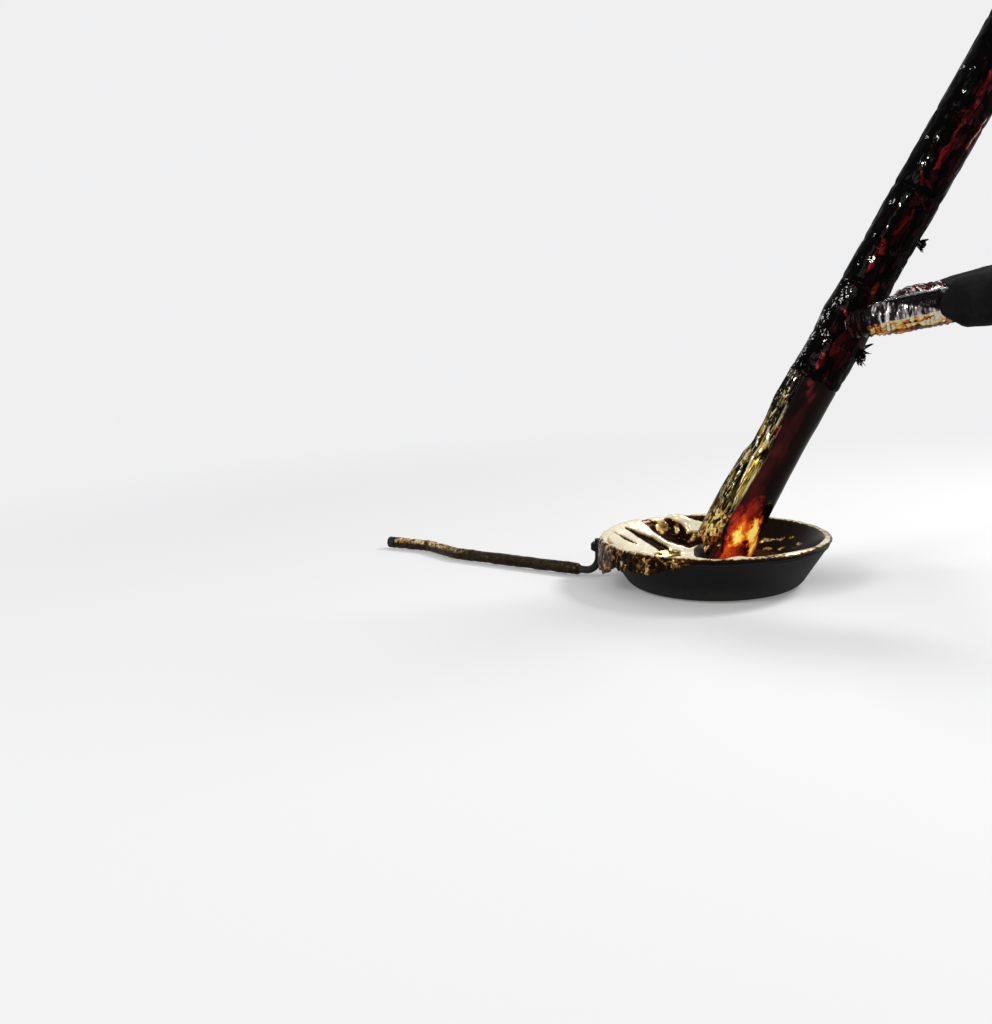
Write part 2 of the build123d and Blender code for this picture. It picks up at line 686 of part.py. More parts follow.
bracket_side = Plane(origin=pad_floor, x_dir=probe_out, z_dir=probe_out.cross(Vector(0, 0, 1)))
bracket_out = PROBE_STAND_OFF + PROBE_RADIUS + 12
with BuildPart() as probe_bracket:
    with BuildSketch(bracket_side):
        with BuildLine():
            Polyline(
                (PAD_FOOT_RADIUS, BRACKET_FOOT),
                (bracket_out - 20, BRACKET_FOOT),
                (bracket_out, BRACKET_FOOT + 10),
                (bracket_out, BRACKET_TOP),
                (PAD_FOOT_RADIUS, BRACKET_TOP),
                close=True,
            )
        make_face()
    extrude(amount=BRACKET_WIDE / 2, both=True)
    revolve(
        outline(
            pad_half, (0, 0), (PAD_FOOT_RADIUS, 0), (WALL_TOP_RADIUS, WALL_TOP), (0, WALL_TOP)
        ),
        axis=pad_axis,
        mode=Mode.SUBTRACT,
    )
    add(pad_rim.part, mode=Mode.SUBTRACT)
    with BuildSketch(Plane(origin=pad_floor + probe_out * PROBE_STAND_OFF, z_dir=(0, 0, 1))):
        Circle(PROBE_RADIUS + FIT)
    extrude(amount=2 * BRACKET_TOP, mode=Mode.SUBTRACT)
keep(probe_bracket, "probe_bracket")

# Foil on the footpad: a loose lining that turns over the bead and hangs down outside
liner = PAD_WALL + RIM_ROUND - PAD_WALL / 2 + SOFT_GAP + PAD_FOIL_THICK / 2
wall_way = (Vector(*dish_outside[2]) - Vector(*dish_outside[1])).normalized()
over_rim = rim_middle + wall_way * (RIM_ROUND + SOFT_GAP + PAD_FOIL_THICK / 2)
rim_left = Vector(-wall_way.Y, wall_way.X)
skirt_radius = rim_middle.X + RIM_ROUND + SOFT_GAP + PAD_FOIL_THICK / 2 + 1
liner_line = beside(dish_outside, liner)
liner_top = over_rim + rim_left * (liner - PAD_WALL / 2)
skirt_top = over_rim - rim_left * ((skirt_radius - over_rim.X) / wall_way.Y)
skirt_foot = rim_middle.Y + RIM_ROUND - PAD_FOIL_SKIRT
with BuildPart() as pad_foil:
    with BuildSketch(pad_half):
        with BuildLine() as foil_line:
            FilletPolyline(
                (HUB_FOOT_RADIUS + PAD_FOIL_THICK, liner_line[1][1]),
                liner_line[1],
                (liner_top.X, liner_top.Y),
                (skirt_top.X, skirt_top.Y),
                (skirt_radius, skirt_foot),
                radius=[PAD_EDGE_ROUND - liner, 8, 7],
            )
        trace(line_width=PAD_FOIL_THICK)
    revolve(axis=pad_axis)
    with BuildSketch(bracket_side):
        with Locations((PROBE_STAND_OFF, BRACKET_FOOT)):
            Rectangle(2 * RIM_ROUND + 4 * PROBE_RADIUS, 2 * (BRACKET_TOP - BRACKET_FOOT) + 2 * SOFT_GAP)
    extrude(amount=BRACKET_WIDE / 2 + SOFT_GAP, both=True, mode=Mode.SUBTRACT)
    with BuildSketch(Plane(origin=pad_floor, z_dir=(0, 0, 1))):
        with BuildLine():
            short_hem = CenterArc((0, 0), skirt_radius + PAD_FOIL_THICK, SKIRT_TO, SKIRT_FROM + 360 - SKIRT_TO)
            inner_arc = CenterArc((0, 0), rim_middle.X + FIT, SKIRT_TO, SKIRT_FROM + 360 - SKIRT_TO)
            Line(short_hem @ 0, inner_arc @ 0)
            Line(short_hem @ 1, inner_arc @ 1)
        make_face()
    extrude(amount=rim_middle.Y + RIM_ROUND - PAD_FOIL_HEM, mode=Mode.SUBTRACT)
keep(pad_foil, "pad_foil")

with BuildPart() as probe_foil:
    with BuildLine() as foil_path:
        FilletPolyline(*boom_bends[1:], radius=2 * PROBE_BEND)
    foil_run = foil_path.line
    foil_root = (foil_run @ 0) + (foil_run % 0) * (PROBE_BEND + PROBE_FOIL)
    with BuildLine() as foil_route:
        FilletPolyline(foil_root, *boom_bends[2:], radius=2 * PROBE_BEND)
    with BuildSketch(Plane(origin=foil_root, z_dir=foil_route.line % 0)):
        Circle(PROBE_FOIL)
        Circle(PROBE_RADIUS + SOFT_GAP, mode=Mode.SUBTRACT)
    sweep(path=foil_route.line)
keep(probe_foil, "probe_foil")

# Foil on the main strut: film below, and crumpled foil round and above the collar
film_top = collar_middle - FILM_DROP
FILM = (  # (height along the strut, radius, offset outboard)
    (-BOOT_LENGTH, BOOT_INSIDE + BOOT_FLARE + FOIL_THICK, 0.0),
    (0.0, BOOT_INSIDE + FOIL_THICK, 0.0),
    (BOOT_NECK, 102.0, 2.0),
    (240.0, 108.0, 11.0),
    (400.0, 103.0, 6.0),
    (film_top - 335, 98.0, 1.0),
    (film_top - 130, 100.0, 3.0),
    (film_top, 101.0, 4.0),
)
COLLAR_WRAP = (
    (film_top + SOFT_GAP, 105.0, 6.0),
    (collar_foot - 50, 104.0, 5.0),
    (collar_middle, COLLAR_RADIUS + FOIL_THICK, 0.0),
    (collar_top + 14, 101.0, 2.0),
)
with BuildPart() as strut_film:
    for height, radius, outboard in FILM:
        with BuildSketch(strut.offset(height)):
            with Locations((-outboard, 0)):
                Circle(radius)
    loft(ruled=True)
    revolve(
        outline(
            strut_half,
            (0, -BOOT_LENGTH),
            (BOOT_INSIDE + BOOT_FLARE, -BOOT_LENGTH),
            (BOOT_INSIDE, 0),
            (FILM_INSIDE, BOOT_NECK),
            (FILM_INSIDE, film_top),
            (0, film_top),
        ),
        axis=strut_axis,
        mode=Mode.SUBTRACT,
    )
    with BuildSketch(Plane(origin=ball_centre - Vector(0, 0, FILM_HEM), z_dir=(0, 0, -1))):
        Circle(4 * BOOT_INSIDE)
    extrude(amount=2 * BOOT_LENGTH, mode=Mode.SUBTRACT)
keep(strut_film, "strut_film")

with BuildPart() as stud_clearance:
    with BuildSketch(Plane(origin=stud_centre - arm_way * STUD_OVERHANG, z_dir=arm_way)):
        Circle(STUD_ROOT + 2)
    extrude(amount=STUD_OVERHANG)
    mirror(about=middle_plane)

with BuildPart() as collar_foil:
    for height, radius, outboard in COLLAR_WRAP:
        with BuildSketch(strut.offset(height)):
            with Locations((-outboard, 0)):
                Circle(radius)
    loft(ruled=True)
    revolve(
        outline(
            strut_half,
            (0, BOOT_NECK),
            (GLAND_RADIUS + SOFT_GAP, BOOT_NECK),
            (GLAND_RADIUS + SOFT_GAP, collar_foot - SOFT_GAP),
            (COLLAR_RADIUS + SOFT_GAP, collar_foot - SOFT_GAP),
            (COLLAR_RADIUS + SOFT_GAP, collar_top + SOFT_GAP),
            (OUTER_RADIUS + SOFT_GAP, collar_top + SOFT_GAP),
            (OUTER_RADIUS + SOFT_GAP, outer_top),
            (0, outer_top),
        ),
        axis=strut_axis,
        mode=Mode.SUBTRACT,
    )
    add(stud_clearance.part, mode=Mode.SUBTRACT)
keep(collar_foil, "collar_foil")

wrap_top = COLLAR_WRAP[-1][0] + SOFT_GAP
with BuildPart() as strut_foil:
    revolve(
        outline(
            strut_half,
            (OUTER_RADIUS + SOFT_GAP, wrap_top),
            (STRUT_FOIL_RADIUS + 3, wrap_top),
            (STRUT_FOIL_RADIUS, wrap_top + 120),
            (STRUT_FOIL_RADIUS, outer_top - FOIL_MARGIN),
            (OUTER_RADIUS + SOFT_GAP, outer_top - FOIL_MARGIN),
        ),
        axis=strut_axis,
    )
    add(stud_clearance.part, mode=Mode.SUBTRACT)
keep(strut_foil, "strut_foil")

# Foil on each secondary rod, and the blanket sleeve on each barrel
with BuildPart() as rod_foil:
    revolve(
        outline(
            arm_half,
            (ROD_RADIUS + SOFT_GAP, ROD_FOIL_START),
            (ROD_FOIL_RADIUS, ROD_FOIL_START),
            (ROD_FOIL_SWELL, (ROD_FOIL_START + BARREL_START) / 2),
            (ROD_FOIL_SWELL, BARREL_START - SOFT_GAP),
            (ROD_RADIUS + SOFT_GAP, BARREL_START - SOFT_GAP),
        ),
        axis=arm_axis,
    )
keep_pair(rod_foil, "rod_foil")

sleeve_half = arm_half.offset(SLEEVE_SAG)
with BuildPart() as barrel_sleeve:
    revolve(
        outline(
            sleeve_half,
            (0, SLEEVE_START),
            (SLEEVE_RADIUS, SLEEVE_START),
            (SLEEVE_SWELL, (SLEEVE_START + SLEEVE_STOP) / 2),
            (SLEEVE_RADIUS, SLEEVE_STOP),
            (0, SLEEVE_STOP),
        ),
        axis=Axis(sleeve_half.origin, arm_way),
    )
    with BuildSketch(Plane(origin=stud_centre, z_dir=arm_way)):
        Circle(BARREL_RADIUS + SOFT_GAP)
    extrude(amount=2 * SLEEVE_STOP, mode=Mode.SUBTRACT)
keep_pair(barrel_sleeve, "barrel_sleeve")
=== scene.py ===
"""Dresses a lander's leg: a foil-wrapped strut on a dished footpad, with its secondary struts,
truss and bent ground probe. Everything is in metres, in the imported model's frame."""

import json
import math

import bmesh
import bpy
from mathutils import Matrix, Vector, noise


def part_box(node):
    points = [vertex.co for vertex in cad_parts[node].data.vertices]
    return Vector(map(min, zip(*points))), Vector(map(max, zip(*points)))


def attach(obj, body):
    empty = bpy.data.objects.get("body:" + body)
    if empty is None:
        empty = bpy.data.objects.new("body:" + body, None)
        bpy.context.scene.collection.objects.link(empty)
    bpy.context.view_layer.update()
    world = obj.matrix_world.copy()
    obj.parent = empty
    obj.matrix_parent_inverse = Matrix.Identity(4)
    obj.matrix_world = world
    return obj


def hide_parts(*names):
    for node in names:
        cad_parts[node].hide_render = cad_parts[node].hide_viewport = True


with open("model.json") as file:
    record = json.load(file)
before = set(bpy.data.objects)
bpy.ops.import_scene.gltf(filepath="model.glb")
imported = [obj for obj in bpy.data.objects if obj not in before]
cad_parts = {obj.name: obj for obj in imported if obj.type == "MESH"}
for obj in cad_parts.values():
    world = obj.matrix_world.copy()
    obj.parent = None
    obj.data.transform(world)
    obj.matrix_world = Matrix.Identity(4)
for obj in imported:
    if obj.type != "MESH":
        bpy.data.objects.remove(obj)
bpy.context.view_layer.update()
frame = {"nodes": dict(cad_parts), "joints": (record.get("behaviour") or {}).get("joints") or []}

# Where things are, from the ankle joint and the lean of the strut
BALL = Vector(frame["joints"][0]["pos_m"])
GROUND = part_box("pad_dish")[0][2]
ALONG = (-BALL).normalized()
ACROSS = Vector((0, 1, 0))
INBOARD = ACROSS.cross(ALONG).normalized()
UP = Vector((0, 0, 1))
MIDDLE = (0.5, 0.5, 0.5)  # the mean of a random colour or vector


def placed(origin, x_way, y_way, z_way):
    """The transform that puts local axes on these directions at that origin."""
    turned = Matrix((x_way, y_way, z_way)).transposed().to_4x4()
    return Matrix.Translation(origin) @ turned


STRUT = placed(BALL, INBOARD, ACROSS, ALONG)
PAD = Matrix.Translation((BALL.x, 0, GROUND))
STUD = (0.062, 0.128, 1.116)  # a secondary strut's ball stud in the main strut's frame
ARM_WAY = (0.95, 0.432, 0.196)  # the way that it leads from there
RIM_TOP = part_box("pad_rim")[1][2] - GROUND + 0.0115  # top of the foil on the pad's bead


def arm_place(side):
    """A secondary strut's frame: its stud ball at the origin and the strut along Z, Y upwards."""
    stud = STRUT @ Vector((STUD[0], side * STUD[1], STUD[2]))
    way = Vector((ARM_WAY[0], side * ARM_WAY[1], ARM_WAY[2])).normalized()
    across = UP.cross(way).normalized()
    return placed(stud, across, way.cross(across), way)


# -------- finishes


def operator(operation):
    """The plain and the reflected form of an operator that adds a Math node."""

    def plain(self, other):
        return self.maths(operation, self, other)

    def reflected(self, other):
        return self.maths(operation, other, self)

    return plain, reflected


class Value:
    """A node's output that takes part in arithmetic."""

    def __init__(self, tree, socket):
        self.tree = tree
        self.socket = socket

    def maths(self, operation, *values):
        return self.tree.node("ShaderNodeMath", {"operation": operation}, dict(enumerate(values)))

    __add__, __radd__ = operator("ADD")
    __sub__, __rsub__ = operator("SUBTRACT")
    __mul__, __rmul__ = operator("MULTIPLY")
    __truediv__, __rtruediv__ = operator("DIVIDE")
    __pow__, __rpow__ = operator("POWER")

    def clamped(self):
        return self.tree.node("ShaderNodeClamp", {}, {0: self})

    def at_least(self, other):
        return self.maths("MAXIMUM", self, other)

    def size(self):
        return self.maths("ABSOLUTE", self)

    def root(self):
        return self.maths("SQRT", self)


class Tree:
    """A node tree, to which every node is added by one method."""

    def __init__(self, tree):
        self.nodes = tree.nodes
        self.links = tree.links

    def fill(self, socket, value):
        """Links a value to a socket, or sets the socket; colours have three numbers."""
        if isinstance(value, Value):
            self.links.new(value.socket, socket)
        else:
            socket.default_value = (*value, 1) if socket.type == "RGBA" else value

    def node(self, kind, settings, inputs, output=0):
        made = self.nodes.new(kind)
        for key, setting in settings.items():
            if key == "stops":
                elements = made.color_ramp.elements
                while len(elements) < len(setting):
                    elements.new(0.5)
                for element, (position, colour) in zip(elements, setting):
                    element.position = position
                    element.color = (*colour, 1)
            else:
                setattr(made, key, setting)
        for key, value in inputs.items():
            self.fill(made.inputs[key], value)
        return Value(self, made.outputs[output])

    def mix(self, amount, first, second):
        """A colour between two colours."""
        inputs = {0: amount, 6: first, 7: second}
        return self.node("ShaderNodeMix", {"data_type": "RGBA"}, inputs, 2)


class Finish(Tree):
    """A procedural material, whose surface is set once."""

    def __init__(self, name):
        self.material = bpy.data.materials.new(name)
        self.material.use_nodes = True
        super().__init__(self.material.node_tree)
        self.shader = self.nodes["Principled BSDF"]
        self.place = self.node("ShaderNodeTexCoord", {}, {}, "Object")

    def axis(self, vector, index):
        return self.node("ShaderNodeSeparateXYZ", {}, {0: vector}, index)

    def vector(self, operation, first, second, output=0):
        inputs = {0: first, 1: second}
        return self.node("ShaderNodeVectorMath", {"operation": operation}, inputs, output)

    def along(self, place, way):
        """Distance along one of the local axes of a transform, 0, 1 or 2."""
        from_start = self.vector("SUBTRACT", self.place, tuple(place.translation))
        return self.vector("DOT_PRODUCT", from_start, tuple(place.col[way][:3]), "Value")

    def around(self, local):
        """Degrees round the Z axis of local coordinates, from -X by way of -Y."""
        across, inboard = self.axis(local, 1), self.axis(local, 0)
        return across.maths("ARCTAN2", -1 * across, -1 * inboard) * math.degrees(1)

    def local(self, place, stretch):
        """Object coordinates in a transform's own axes, each one scaled."""
        parts = {way: self.along(place, way) * stretch[way] for way in range(3)}
        return self.node("ShaderNodeCombineXYZ", {}, parts)

    def on_strut(self, tall=1):
        """Coordinates in the main strut's own axes, with its length scaled."""
        return self.local(STRUT, (1, 1, tall))

    def upright(self, tall):
        """Object coordinates, with their height scaled."""
        return self.node("ShaderNodeMapping", {}, {"Vector": self.place, "Scale": (1, 1, tall)})

    def attribute(self, name):
        """A number that the mesh carries at each point."""
        return self.node("ShaderNodeAttribute", {"attribute_name": name}, {}, "Fac")

    def noise(self, scale, detail=3, roughness=0.55, vector=None, distortion=0):
        inputs = {"Vector": vector or self.place, "Scale": scale, "Detail": detail}
        inputs.update(Roughness=roughness, Distortion=distortion)
        return self.node("ShaderNodeTexNoise", {}, inputs)

    def steps(self, value, low, high):
        """0 at low, 1 at high, smooth between; low may be the larger."""
        inputs = {"Value": value, "From Min": low, "From Max": high}
        return self.node("ShaderNodeMapRange", {"interpolation_type": "SMOOTHSTEP"}, inputs)

    def ramp(self, value, *stops):
        """A colour ramp from (position, colour) stops."""
        return self.node("ShaderNodeValToRGB", {"stops": stops}, {0: value})

    def cells(self, scale, vector, output, feature="F1"):
        inputs = {"Vector": vector or self.place, "Scale": scale}
        return self.node("ShaderNodeTexVoronoi", {"feature": feature}, inputs, output)

    def creases(self, scale, vector=None):
        """Height of crumpled facets: each cell is a flat face with its own tilt."""
        tilt = self.vector("SUBTRACT", self.cells(scale, vector, "Color"), MIDDLE)
        centre = self.cells(scale, vector, "Position")
        reach = self.vector("SUBTRACT", vector or self.place, centre)
        return self.vector("DOT_PRODUCT", tilt, reach, "Value") * scale

    def cell_shade(self, scale, vector=None, part=0):
        """One random number for each crumpled facet."""
        return self.axis(self.cells(scale, vector, "Color"), part)

    def dabs(self, scale, vector):
        """1 on scattered small dashes, 0 between them."""
        inputs = {"Vector": vector, "Scale": scale * 0.6}
        jolt = self.node("ShaderNodeTexNoise", {}, inputs, "Color")
        jolt = self.vector("MULTIPLY", self.vector("SUBTRACT", jolt, MIDDLE), (2.4 / scale,) * 3)
        moved = self.vector("ADD", vector, jolt)
        near = self.steps(self.cells(scale, moved, "Distance"), 0.42, 0.3)
        return near * self.steps(self.cell_shade(scale, moved, 2), 0.52, 0.56)

    def seams(self, scale, vector, wide):
        """1 along the thin creases between facets, 0 on the facets."""
        edge = self.cells(scale, vector, "Distance", "DISTANCE_TO_EDGE")
        return self.steps(edge, wide, wide * 0.3)

    def away(self, height, angle, spot):
        """Squared distance from a spot's (height, angle), in its (half height, half angle)."""
        up, turn, half_up, half_turn = spot
        return ((height - up) / half_up) ** 2 + ((angle - turn) / half_turn) ** 2

    def soft_spots(self, height, angle, rows):
        """Weight summed over soft round spots."""
        total = 0
        for *spot, spot_weight in rows:
            total = self.steps(self.away(height, angle, spot), 1.6, 0) * spot_weight + total
        return total

    def patches(self, local, rows):
        """Strength of the strongest of some areas with firm edges."""
        height, angle = self.axis(local, 2), self.around(local)
        total = 0
        for *spot, strength in rows:
            near = self.steps(self.away(height, angle, spot).root(), 1.1, 0.9)
            total = (near * strength).at_least(total)
        return total

    def streaks(self, height, angle, rows):
        """Strength summed over long lines."""
        total = 0
        for low, turn, high, last, half, strength in rows:
            share = (height - low) / (high - low)
            away = (angle - turn - share * (last - turn)).size()
            within = self.steps((share - 0.5).size(), 0.54, 0.44)
            total = self.steps(away, half, half * 0.4) * within * strength + total
        return total.clamped()

    def bump(self, height, distance, strength):
        inputs = {"Height": height, "Distance": distance, "Strength": strength}
        return self.node("ShaderNodeBump", {}, inputs)

    def surface(self, **sockets):
        """Sets the shader's sockets, with _ for a space in their names."""
        for name, value in sockets.items():
            self.fill(self.shader.inputs[name.replace("_", " ")], value)
        return self.material


# -------- shaping foil

LAYERS = ("ridge", "gild")  # a point's height in its fold, and how golden the foil is there


def eased(value, low, high):
    """0 at low, 1 at high, smooth between; low may be the larger."""
    share = min(1, max(0, (value - low) / (high - low)))
    return share * share * (3 - 2 * share)


def reading(table, at, column=1):
    """A column of a table, read between its rows by the first column."""
    if at <= table[0][0]:
        return table[0][column]
    for below, above in zip(table, table[1:]):
        if at <= above[0]:
            share = (at - below[0]) / (above[0] - below[0])
            return below[column] + (above[column] - below[column]) * share
    return table[-1][column]


def at_height(spot, height):
    return Vector((spot.x, spot.y, height))


def outward_at(spot):
    return at_height(spot, 0).normalized()


def from_outboard(spot):
    """Degrees round the Z axis, from -X by way of -Y."""
    return math.degrees(math.atan2(-spot.y, -spot.x))


def sine(degrees, shift=0):
    return math.sin(math.radians(degrees) + shift)


def dents(spot, size, seed):
    """Rounded facets that meet in sharp creases, about -1 to 1."""
    shifted = Vector(spot) / size + Vector((seed * 3.1, seed * 1.7, seed * 5.3))
    best = -9
    for distance, point in zip(*noise.voronoi(shifted)):
        tilt = noise.cell_vector(point * 9.7) - Vector(MIDDLE)
        best = max(best, 0.9 - 0.9 * distance * distance + 1.1 * tilt.dot(shifted - point))
    return 2 * best - 1.1


def crumple(spot, size, seed):
    """Height of crumpled foil: ridges and valleys in equal parts, about -1 to 1."""
    return 0.5 * (dents(spot, size, seed) - dents(spot, size * 1.35, seed + 5))


def wander(spot, size, seed=0):
    """Slow noise, about -1 to 1."""
    return noise.noise(Vector(spot) / size + Vector((seed, seed * 2.3, seed * 4.1)))


def layered(*names):
    """An empty bmesh with layers of numbers at its points."""
    shaped = bmesh.new()
    for name in names:
        shaped.verts.layers.float.new(name)
    return shaped


def sheet(outside, inside, steps, grain):
    """A closed sheet turned round Z: its outside line of (radius, height) points is divided finely
    and marked 1 in the layer "loose", and its hidden inside line is left coarse, at 0."""
    shaped = layered("loose", *LAYERS)
    line = [shaped.verts.new((radius, 0, height)) for radius, height in outside]
    hidden = [shaped.verts.new((radius, 0, height)) for radius, height in reversed(inside)]
    for vert in line:
        vert[shaped.verts.layers.float["loose"]] = 1
    ring = line + hidden
    edges = [shaped.edges.new(pair) for pair in zip(ring, ring[1:] + ring[:1])]
    for edge in edges[: len(line) - 1]:
        cuts = int(edge.calc_length() / grain)
        if cuts:
            bmesh.ops.subdivide_edges(shaped, edges=[edge], cuts=cuts)
    turned = {"cent": (0, 0, 0), "axis": (0, 0, 1), "angle": 2 * math.pi, "steps": steps}
    bmesh.ops.spin(shaped, geom=shaped.verts[:] + shaped.edges[:], use_merge=True, **turned)
    bmesh.ops.recalc_face_normals(shaped, faces=shaped.faces)
    shaped.normal_update()
    return shaped


def ruffled(shaped, rule, place):
    """Moves each point of a sheet by a rule, then puts the sheet in its place.

    The rule takes a vertex and its looseness, and gives its new place and its layers."""
    layers = shaped.verts.layers.float
    loose, *others = [layers[name] for name in ("loose", *LAYERS)]
    moves = []
    for vert in shaped.verts:
        moves.append((vert, rule(vert, vert[loose])))
    for vert, (spot, *marks) in moves:
        vert.co = spot
        for layer, mark in zip(others, marks):
            vert[layer] = mark
    bmesh.ops.transform(shaped, matrix=place, verts=shaped.verts)
    return shaped


def piece(name, shaped, material, smooth=True):
    """A mesh object at the origin from a finished bmesh."""
    mesh = bpy.data.meshes.new(name)
    shaped.to_mesh(mesh)
    shaped.free()
    mesh.materials.append(material)
    if smooth:
        mesh.shade_smooth()
    made = bpy.data.objects.new(name, mesh)
    bpy.context.scene.collection.objects.link(made)
    return made


def hang(made, body, slot, *nodes):
    """Carries a piece on a body, hiding the CAD nodes that it stands for; its material slot is not
    used.
    """
    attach(made, body)
    if nodes:
        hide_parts(*nodes)


# -------- materials


def plain_metal(name, colour, dark, roughness):
    """Machined or drawn metal with faint stains and fine marks."""
    f = Finish(name)
    stains = f.noise(9, 5, 0.6)
    marks = f.noise(160, 3, 0.6, f.upright(0.15))
    return f.surface(
        Base_Color=f.mix(f.steps(stains, 0.35, 0.75), colour, dark),
        Roughness=(roughness + marks * 0.16 + stains * 0.1).clamped(),
        Metallic=1,
        Normal=f.bump(marks, 0.0003, 0.4),
    )


GOLD_STOPS = (  # from brown valleys to near white crests: painted shade in the valleys, painted highlights on the crests
    (0, (0.012, 0.005, 0.002)), (0.25, (0.075, 0.025, 0.006)), (0.45, (0.42, 0.2, 0.04)),
    (0.62, (0.86, 0.6, 0.2)), (0.8, (1, 0.86, 0.5)), (1, (1, 0.95, 0.76)),
)

# Marks on the main strut: heights are up its axis from the ankle's ball, and angles are degrees
# round it from outboard by way of the near side, the left. A spot is (height, angle, half height,
# half angle, strength), and a line is (height, angle, height, angle, half width, strength).
FILM = (  # (height, radius, offset outboard) of the lower film
    (-0.12, 0.121, -0.021), (0, 0.122, -0.021), (0.08, 0.1205, -0.0205), (0.17, 0.117, -0.015),
    (0.25, 0.115, -0.009), (0.34, 0.112, -0.008), (0.43, 0.106, -0.01), (0.495, 0.1, -0.0145),
    (0.56, 0.0985, -0.014), (0.62, 0.103, -0.009), (0.7, 0.105, -0.006), (0.8, 0.103, -0.006),
    (0.83, 0.0985, -0.006),
)
GLOW = (  # spots of painted glow on the film's foot, light from the foil in the pad
    (0.195, 130, 0.045, 12, 0.5), (0.17, 124, 0.05, 15, 0.36), (0.135, 137, 0.05, 17, 0.6),
    (0.09, 156, 0.05, 20, 0.6), (0.1, 101, 0.035, 13, 0.46), (0.14, 108, 0.06, 20, 0.4),
    (0.17, 88, 0.07, 18, 0.33), (0.09, 88, 0.05, 14, 0.28), (0.13, 118, 0.04, 14, 0.1),
    (0.24, 108, 0.055, 20, 0.24), (0.03, 112, 0.05, 34, 0.4), (0.3, 98, 0.06, 18, 0.1),
)
FILM_PATCHES = (  # dark red blotches of the film
    (0.806, 79, 0.02, 6, 0.6), (0.772, 87, 0.028, 4, 0.42), (0.75, 98, 0.022, 8, 0.3),
    (0.5, 84, 0.03, 10, 0.14), (0.59, 74, 0.05, 6, 0.1),
)
BRIGHT_LINES = (  # painted highlights on the crests of the bunched foil
    (0.19, 64, 0.39, 51, 2.4, 0.95), (0.24, 71, 0.41, 70.5, 2.2, 0.8),
    (0.375, 51, 0.468, 43, 3.6, 1), (0.405, 26, 0.452, 20, 3.4, 0.9),
    (0.475, 31, 0.515, 18, 4.2, 1), (0.51, 57, 0.562, 39, 4.5, 0.8), (0.53, 27, 0.565, 19, 3, 0.7),
    (0.516, 64, 0.55, 60, 2.4, 0.5), (0.578, 20, 0.652, 37, 3.4, 1), (0.556, 49, 0.615, 47, 2, 0.6),
    (0.585, 56, 0.68, 58, 3, 0.4), (0.415, 64, 0.44, 66, 2.4, 0.5),
)
DARK_LINES = (  # painted shade in the valleys between them
    (0.225, 54, 0.41, 40, 11, 1), (0.425, 53, 0.485, 62, 6, 1), (0.2, 66, 0.26, 61, 3, 0.7),
    (0.585, 40, 0.66, 46, 6, 0.9),
)
FOOT_GAP = (  # painted shade in the dark gap between the bunched foil and the lit film
    (0.03, 85, 0.1, 72, 4.5, 1), (0.1, 72, 0.165, 68, 3.6, 1),
)
PINK_LINE = ((0.54, 66.5, 0.6, 66.5, 2.6, 1),)  # faint crease of the film
GROOVE_TOP, GROOVE_ANGLE, GROOVE_SLANT = 0.38, 39, 82  # a groove that slants below its top


